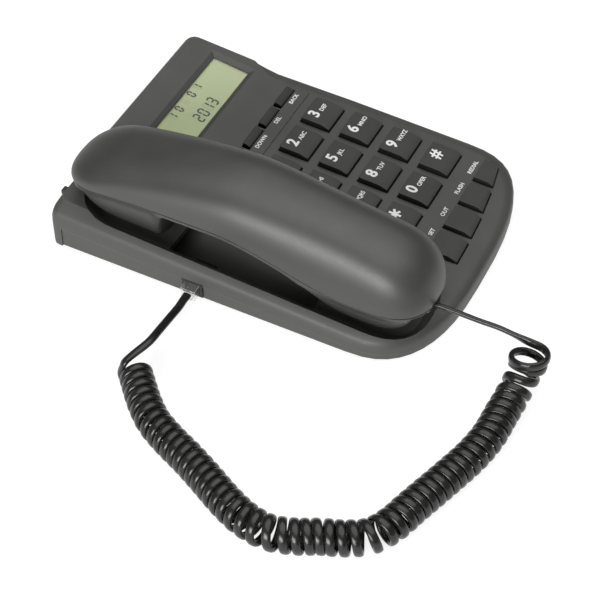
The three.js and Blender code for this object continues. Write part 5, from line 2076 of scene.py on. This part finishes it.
@dataclass
class CurlyCord:
    """The coiled cord between the plug in the base and the plug in the handset.

    Attributes:
        finishes: the materials.
        radius: the radius of the coil's middle line, in millimetres.
        flare: how much wider the last curl is.
        flare_length: over what length of the axis the curls widen to that.
        curls: how many curls the coil has.
        steps: how many steps a curl is drawn in.
        axis_fineness: how finely each span of the axis is drawn.
        samples: how many even steps the axis is followed in.
        bend_share: how much further apart the curls lie in a bend, 1 to keep its inside even.
        bend_reach: how far to each side of a sample its bend is measured.
        end_press: how far the last curls are held from that.
        end_press_length: over what length they are.
        end_crowd: how much closer together they lie.
        half_width: half of the lead's width.
        half_thickness: half of its thickness.
        section_sides: how many sides its section has.
        section_power: how square that is, 2 for an oval.
        base_leave: the way that the lead points where the coil ends towards the base.
        handset_leave: the same towards the handset.
        base_route: the points that the free stretch at the base passes.
        handset_route: the same at the handset.
        base_flat: the way that the lead's flat side faces in the base's plug.
        handset_flat: the same in the handset's plug.
        tail_run: how far a free stretch runs straight on at each of its ends.
        tail_fineness: how finely each of its spans is drawn.
        tail_steps: how many even steps it has.
        twist: the share of it at which it starts to twist, and over what share it does.
        last_curls: how many curls at the handset's end go into a piece of their own.
        blend_start: a place near the coil's end towards the handset, in the drawing.
    """

    finishes: Finishes
    radius: float = 6.5
    flare: float = 1.5
    flare_length: float = 11.0
    curls: int = 55
    steps: int = 24
    axis_fineness: int = 60
    samples: int = 4000
    bend_share: float = 1.15
    bend_reach: float = 5.0
    end_press: float = 0.7
    end_press_length: float = 13.0
    end_crowd: float = 0.3
    half_width: float = 2.0
    half_thickness: float = 1.25
    section_sides: int = 14
    section_power: float = 2.4
    base_leave: Place = (0.39, -0.39, 0.83)
    handset_leave: Place = (0.0, 1.0, 0.0)
    base_route: tuple[Place, ...] = (
        (-82, 19.8, 7.7),
        (-92, 18.9, 10.5),
        (-102, 18, 13.3),
        (-112, 17.4, 15.8),
    )
    handset_route: tuple[Place, ...] = (
        (-41.6, -99, 23.5),
        (-41.8, -109, 23.5),
        (-41.8, -119, 23.6),
    )
    base_flat: Place = (0.0, 0.0, 1.0)
    handset_flat: Place = (0.78, 0.0, 0.63)
    tail_run: float = 3.7
    tail_fineness: int = 20
    tail_steps: int = 60
    twist: Span = (0.72, 0.28)
    last_curls: float = 4.0
    blend_start: Place = (-70.0, -136.0, 9.0)

    def axis(self) -> CoilAxis:
        """Draw the coil's axis with its directions.

        Returns:
            The axis.
        """
        route = spline([Vector(point) for point in COIL_ROUTE], self.axis_fineness)
        places, length = evenly(route, self.samples)
        tangents = []
        for k in range(len(places)):
            a, b = places[max(k - 1, 0)], places[min(k + 1, self.samples)]
            tangents.append((b - a).normalized())
        first = tangents[0]
        normal = first.cross(first.cross(Vector((0, 0, 1))).normalized()).normalized()
        normals, binormals = [], []
        for k, tangent in enumerate(tangents):
            if k:
                normal = tangents[k - 1].rotation_difference(tangent) @ normal
                normal = (normal - tangent * normal.dot(tangent)).normalized()
            normals.append(normal.copy())
            binormals.append(tangent.cross(normal))
        return CoilAxis(places, tangents, normals, binormals, length)

    def crowding(self, axis: CoilAxis) -> list[float]:
        """Reckon how close together the curls lie along the axis.

        Args:
            axis: the coil's axis.

        Returns:
            A share for each sample, below 1 in a bend, where the curls fan out.
        """
        reach = round(self.bend_reach / axis.length * self.samples)
        shares = []
        for k in range(self.samples + 1):
            low, high = max(k - reach, 0), min(k + reach, self.samples)
            span = (high - low) / self.samples * axis.length
            bend = axis.tangents[low].angle(axis.tangents[high]) / span
            left = (1 - k / self.samples) * axis.length
            pressed = self.end_press * (1 - smooth(left / self.end_press_length))
            fanned = self.bend_share * self.radius * bend * (1 - pressed)
            shares.append(1 - fanned + pressed * self.end_crowd)
        return shares

    def lead(self) -> tuple[list[Vector], list[Vector]]:
        """Wind the lead's middle line round the axis.

        Returns:
            Its points, and at each the direction away from the axis.
        """
        axis = self.axis()
        crowding = self.crowding(axis)
        sums = [0.0]
        for a, b in zip(crowding, crowding[1:]):
            sums.append(sums[-1] + (a + b) / 2)
        start = axis.heading(0, -Vector(self.base_leave))
        end = axis.heading(self.samples, Vector(self.handset_leave))
        total = 2 * math.pi * self.curls + end - start
        turns = [start + value / sums[-1] * total for value in sums]
        count = round(total / (2 * math.pi) * self.steps)
        centres, outs, k = [], [], 0
        for step in range(count + 1):
            goal = start + total * step / count
            while k < self.samples - 1 and turns[k + 1] < goal:
                k += 1
            share = min((goal - turns[k]) / (turns[k + 1] - turns[k]), 1.0)
            left = (1 - (k + share) / self.samples) * axis.length
            radius = self.radius + self.flare * (1 - smooth(left / self.flare_length))
            out = axis.normals[k] * math.cos(goal) + axis.binormals[k] * math.sin(goal)
            centres.append(axis.places[k].lerp(axis.places[k + 1], share) + out * radius)
            outs.append(out)
        return centres, outs

    def tail(
        self, face: Place, face_run: Place, route: Sequence[Place], coil_end: Vector, inner: Vector
    ) -> list[Vector]:
        """Draw a free stretch, from its plug to the coil's end.

        Args:
            face: where it leaves the plug.
            face_run: the way that it leaves it.
            route: the points that it passes.
            coil_end: the end of the coil.
            inner: the coil's point before that.

        Returns:
            Its evenly spaced points.
        """
        start, leave = Vector(face), Vector(face_run)
        points = [start, start + leave * self.tail_run, *[Vector(point) for point in route]]
        points += [coil_end + (coil_end - inner).normalized() * self.tail_run, coil_end]
        return evenly(spline(points, self.tail_fineness), self.tail_steps)[0]

    def outward(self, line: Sequence[Vector], first: Vector, last: Vector) -> list[Vector]:
        """Twist the flat lead from one outward direction to another along a line.

        Args:
            line: the lead's middle line.
            first: the way that its flat side faces at the start.
            last: the way that it faces at the end.

        Returns:
            The way that it faces at each point, square to the line.
        """
        start, length = self.twist
        outs = []
        for k, point in enumerate(line):
            a, b = line[max(k - 1, 0)], line[min(k + 1, len(line) - 1)]
            along = (b - a).normalized()
            out = first.lerp(last, smooth((k / (len(line) - 1) - start) / length))
            outs.append((out - along * out.dot(along)).normalized())
        return outs

    def section(self, centre: Vector, out: Vector, along: Vector) -> Ring:
        """Draw one closed section of the flat lead.

        Args:
            centre: its middle, in the drawing.
            out: the way that the lead's flat side faces.
            along: the way that the lead runs.

        Returns:
            The section's points in the part's frame.
        """
        wide = along.cross(out).normalized()
        thick = wide.cross(along).normalized()
        power = 2 / self.section_power
        ring = []
        for k in range(self.section_sides):
            turn = 2 * math.pi * k / self.section_sides
            x = signed_power(math.sin(turn), power) * self.half_width
            z = signed_power(math.cos(turn), power) * self.half_thickness
            ring.append(at(*(centre + wide * x + thick * z)))
        return ring

    def tube(
        self, name: str, centres: Sequence[Vector], outs: Sequence[Vector]
    ) -> bpy.types.Object:
        """Draw the lead's section along its middle line and close its ends.

        Args:
            name: the piece's name.
            centres: the middle line.
            outs: the way that the flat side faces at each of its points.

        Returns:
            The piece.
        """
        rings = []
        for k, centre in enumerate(centres):
            a, b = centres[max(k - 1, 0)], centres[min(k + 1, len(centres) - 1)]
            rings.append(self.section(centre, outs[k], (b - a).normalized()))
        bm = sheet_of_rings(rings, closed=True)
        bmesh.ops.holes_fill(bm, edges=[edge for edge in bm.edges if edge.is_boundary])
        bmesh.ops.recalc_face_normals(bm, faces=bm.faces[:])
        return finished(name, bm, self.finishes.cord, smooth_angle=60.0)

    def build(self, base_plug: bpy.types.Object, handset_plug: bpy.types.Object) -> None:
        """Args:
            base_plug: the plug at the base's end; not used.
            handset_plug: the plug at the handset's end; not used.
        """
        centres, outs = self.lead()
        base_line = self.tail(BASE_PLUG_FACE, (-1, 0, 0), self.base_route, *centres[:2])
        hand_line = self.tail(
            HANDSET_PLUG_FACE, (0, -1, 0), self.handset_route, centres[-1], centres[-2]
        )
        base_outs = self.outward(base_line, Vector(self.base_flat), outs[0])
        hand_outs = self.outward(hand_line, Vector(self.handset_flat), outs[-1])
        whole = base_line[:-1] + centres
        whole_outs = base_outs[:-1] + outs
        cut = len(whole) - round(self.last_curls * self.steps)
        near = whole[: cut + 1], whole_outs[: cut + 1]
        far = whole[cut:] + hand_line[-2::-1], whole_outs[cut:] + hand_outs[-2::-1]
        coil = self.tube("cord_coiled_lead", *near)
        settled(coil, "base", ["cord_coil", "cord_base_tail"])
        end = self.tube("cord_handset_lead", *far)
        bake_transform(end)
        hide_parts("cord_handset_tail")


# Studio


def grey(tone: float) -> tuple[float, float, float, float]:
    """Return a grey, from 0 for black to 1 for white."""
    return (tone, tone, tone, 1.0)


@dataclass(frozen=True)
class Lamp:
    """One large soft lamp.

    Attributes:
        name: its name.
        place: where it hangs, in metres.
        size: its width and height.
        watts: its power.
    """

    name: str
    place: Place
    size: Span
    watts: float


@dataclass
class Studio:
    """The camera, the floor and the light.

    Attributes:
        camera_place: where the camera stands, in metres.
        right: the way that points right in the photograph.
        upward: the way that points up in it.
        lens: the camera's focal length in millimetres on a 36 mm sensor.
        clip: how near and how far the camera sees.
        floor_reach: how far the floor reaches each way.
        floor_tone: how pale the floor is to the light.
        seen_tone: how pale it is where the camera sees it, besides its glow.
        glow: how strongly it glows there.
        soft_light: how strong the light from all round is.
        aim: the place that the lamps point at.
        lamps: the lamps.
    """

    camera_place: Place = (-0.54685, -0.277, 0.610)
    right: Place = (0.4509, -0.8926, 0.0)
    upward: Place = (0.6592, 0.3330, 0.6743)
    lens: float = 108.0
    clip: Span = (0.01, 20.0)
    floor_reach: float = 6.0
    floor_tone: float = 0.8
    seen_tone: float = 0.34
    glow: float = 0.8
    soft_light: float = 0.1
    aim: Place = (0.0, 0.0, 0.02)
    lamps: tuple[Lamp, ...] = (
        Lamp("top lamp", (0.2, -0.05, 1.3), (1.7, 1.7), 15.8),
        Lamp("side lamp", (-1.05, -0.05, 0.42), (0.75, 0.45), 11.5),
    )

    def set_camera(self) -> None:
        """Stand the camera where the photograph was taken from."""
        data = bpy.data.cameras.new("camera")
        data.lens = self.lens
        data.sensor_width = 36.0
        data.clip_start, data.clip_end = self.clip
        camera = bpy.data.objects.new("camera", data)
        right, upward = Vector(self.right).normalized(), Vector(self.upward).normalized()
        back = right.cross(upward)
        turn = Matrix((right, upward, back)).transposed().to_4x4()
        camera.matrix_world = Matrix.Translation(self.camera_place) @ turn
        bpy.context.scene.collection.objects.link(camera)
        bpy.context.scene.camera = camera

    def lay_floor(self) -> None:
        """Lay a plain pale floor that keeps the telephone's shadow."""
        floor = bpy.data.materials.new("floor")
        floor.use_nodes = True
        w = Wiring(floor.node_tree)
        diffuse = w.fill(w.add("BsdfDiffuse"), Color=grey(self.floor_tone))
        glow = w.fill(w.add("Emission"), Color=grey(1.0), Strength=self.glow)
        shown = w.fill(w.add("BsdfDiffuse"), Color=grey(self.seen_tone))
        lit = w.add("AddShader")
        w.join(shown.outputs[0], lit.inputs[0])
        w.join(glow.outputs[0], lit.inputs[1])
        path = w.add("LightPath")
        seen, mirrored = path.outputs["Is Camera Ray"], path.outputs["Is Glossy Ray"]
        watched = w.calculate("MAXIMUM", seen, mirrored)
        watched = w.calculate("MAXIMUM", watched, path.outputs["Is Transmission Ray"])
        choice = w.add("MixShader")
        w.join(watched, choice.inputs[0])
        w.join(diffuse.outputs[0], choice.inputs[1])
        w.join(lit.outputs[0], choice.inputs[2])
        w.join(choice.outputs[0], w.add("OutputMaterial").inputs["Surface"])
        bm = bmesh.new()
        bmesh.ops.create_grid(bm, x_segments=2, y_segments=2, size=self.floor_reach)
        finished("floor", bm, floor)

    def set_world(self) -> None:
        """Surround the scene with soft light, white where the camera sees it."""
        world = bpy.data.worlds.new("studio")
        bpy.context.scene.world = world
        world.use_nodes = True
        w = Wiring(world.node_tree)
        soft = w.fill(w.add("Background"), Color=grey(1.0), Strength=self.soft_light)
        white = w.fill(w.add("Background"), Color=grey(1.0), Strength=1.0)
        path = w.add("LightPath")
        choice = w.add("MixShader")
        w.join(path.outputs["Is Camera Ray"], choice.inputs[0])
        w.join(soft.outputs[0], choice.inputs[1])
        w.join(white.outputs[0], choice.inputs[2])
        w.join(choice.outputs[0], w.add("OutputWorld").inputs["Surface"])

    def hang(self, lamp: Lamp) -> None:
        """Hang one lamp and point it at the telephone.

        Args:
            lamp: the lamp.
        """
        data = bpy.data.lights.new(lamp.name, "AREA")
        data.shape = "RECTANGLE"
        data.size, data.size_y = lamp.size
        data.energy = lamp.watts
        hung = bpy.data.objects.new(lamp.name, data)
        hung.location = lamp.place
        hung.rotation_mode = "QUATERNION"
        way = Vector(self.aim) - Vector(lamp.place)
        hung.rotation_quaternion = way.to_track_quat("-Z", "Y")
        bpy.context.scene.collection.objects.link(hung)

    def build(self) -> None:
        """Set up everything that isn't the telephone."""
        self.set_camera()
        self.lay_floor()
        self.set_world()
        for lamp in self.lamps:
            self.hang(lamp)
        bpy.context.scene.view_settings.view_transform = "Standard"
        log.info("studio: camera, floor, world and lamps")


def main() -> None:
    """Build the telephone piece by piece."""
    logging.basicConfig(level=logging.INFO, format="%(name)s %(message)s")
    finishes = Finishes()
    Studio().build()
    base_plug = ModularPlug(finishes, "base_plug", "base", 0.0, BASE_PLUG_FACE).build()
    plug = ModularPlug(finishes, "handset_plug", "handset", 90.0, HANDSET_PLUG_FACE)
    handset_plug = plug.build()
    CurlyCord(finishes).build(base_plug, handset_plug)
    case = CaseShells(finishes)
    case.build()
    case.dress()
    Keypad(finishes).build()
    Display(finishes).build()
    handset = Handset(finishes)
    handset.build()
    handset.dress()


if __name__ == "__main__":
    main()
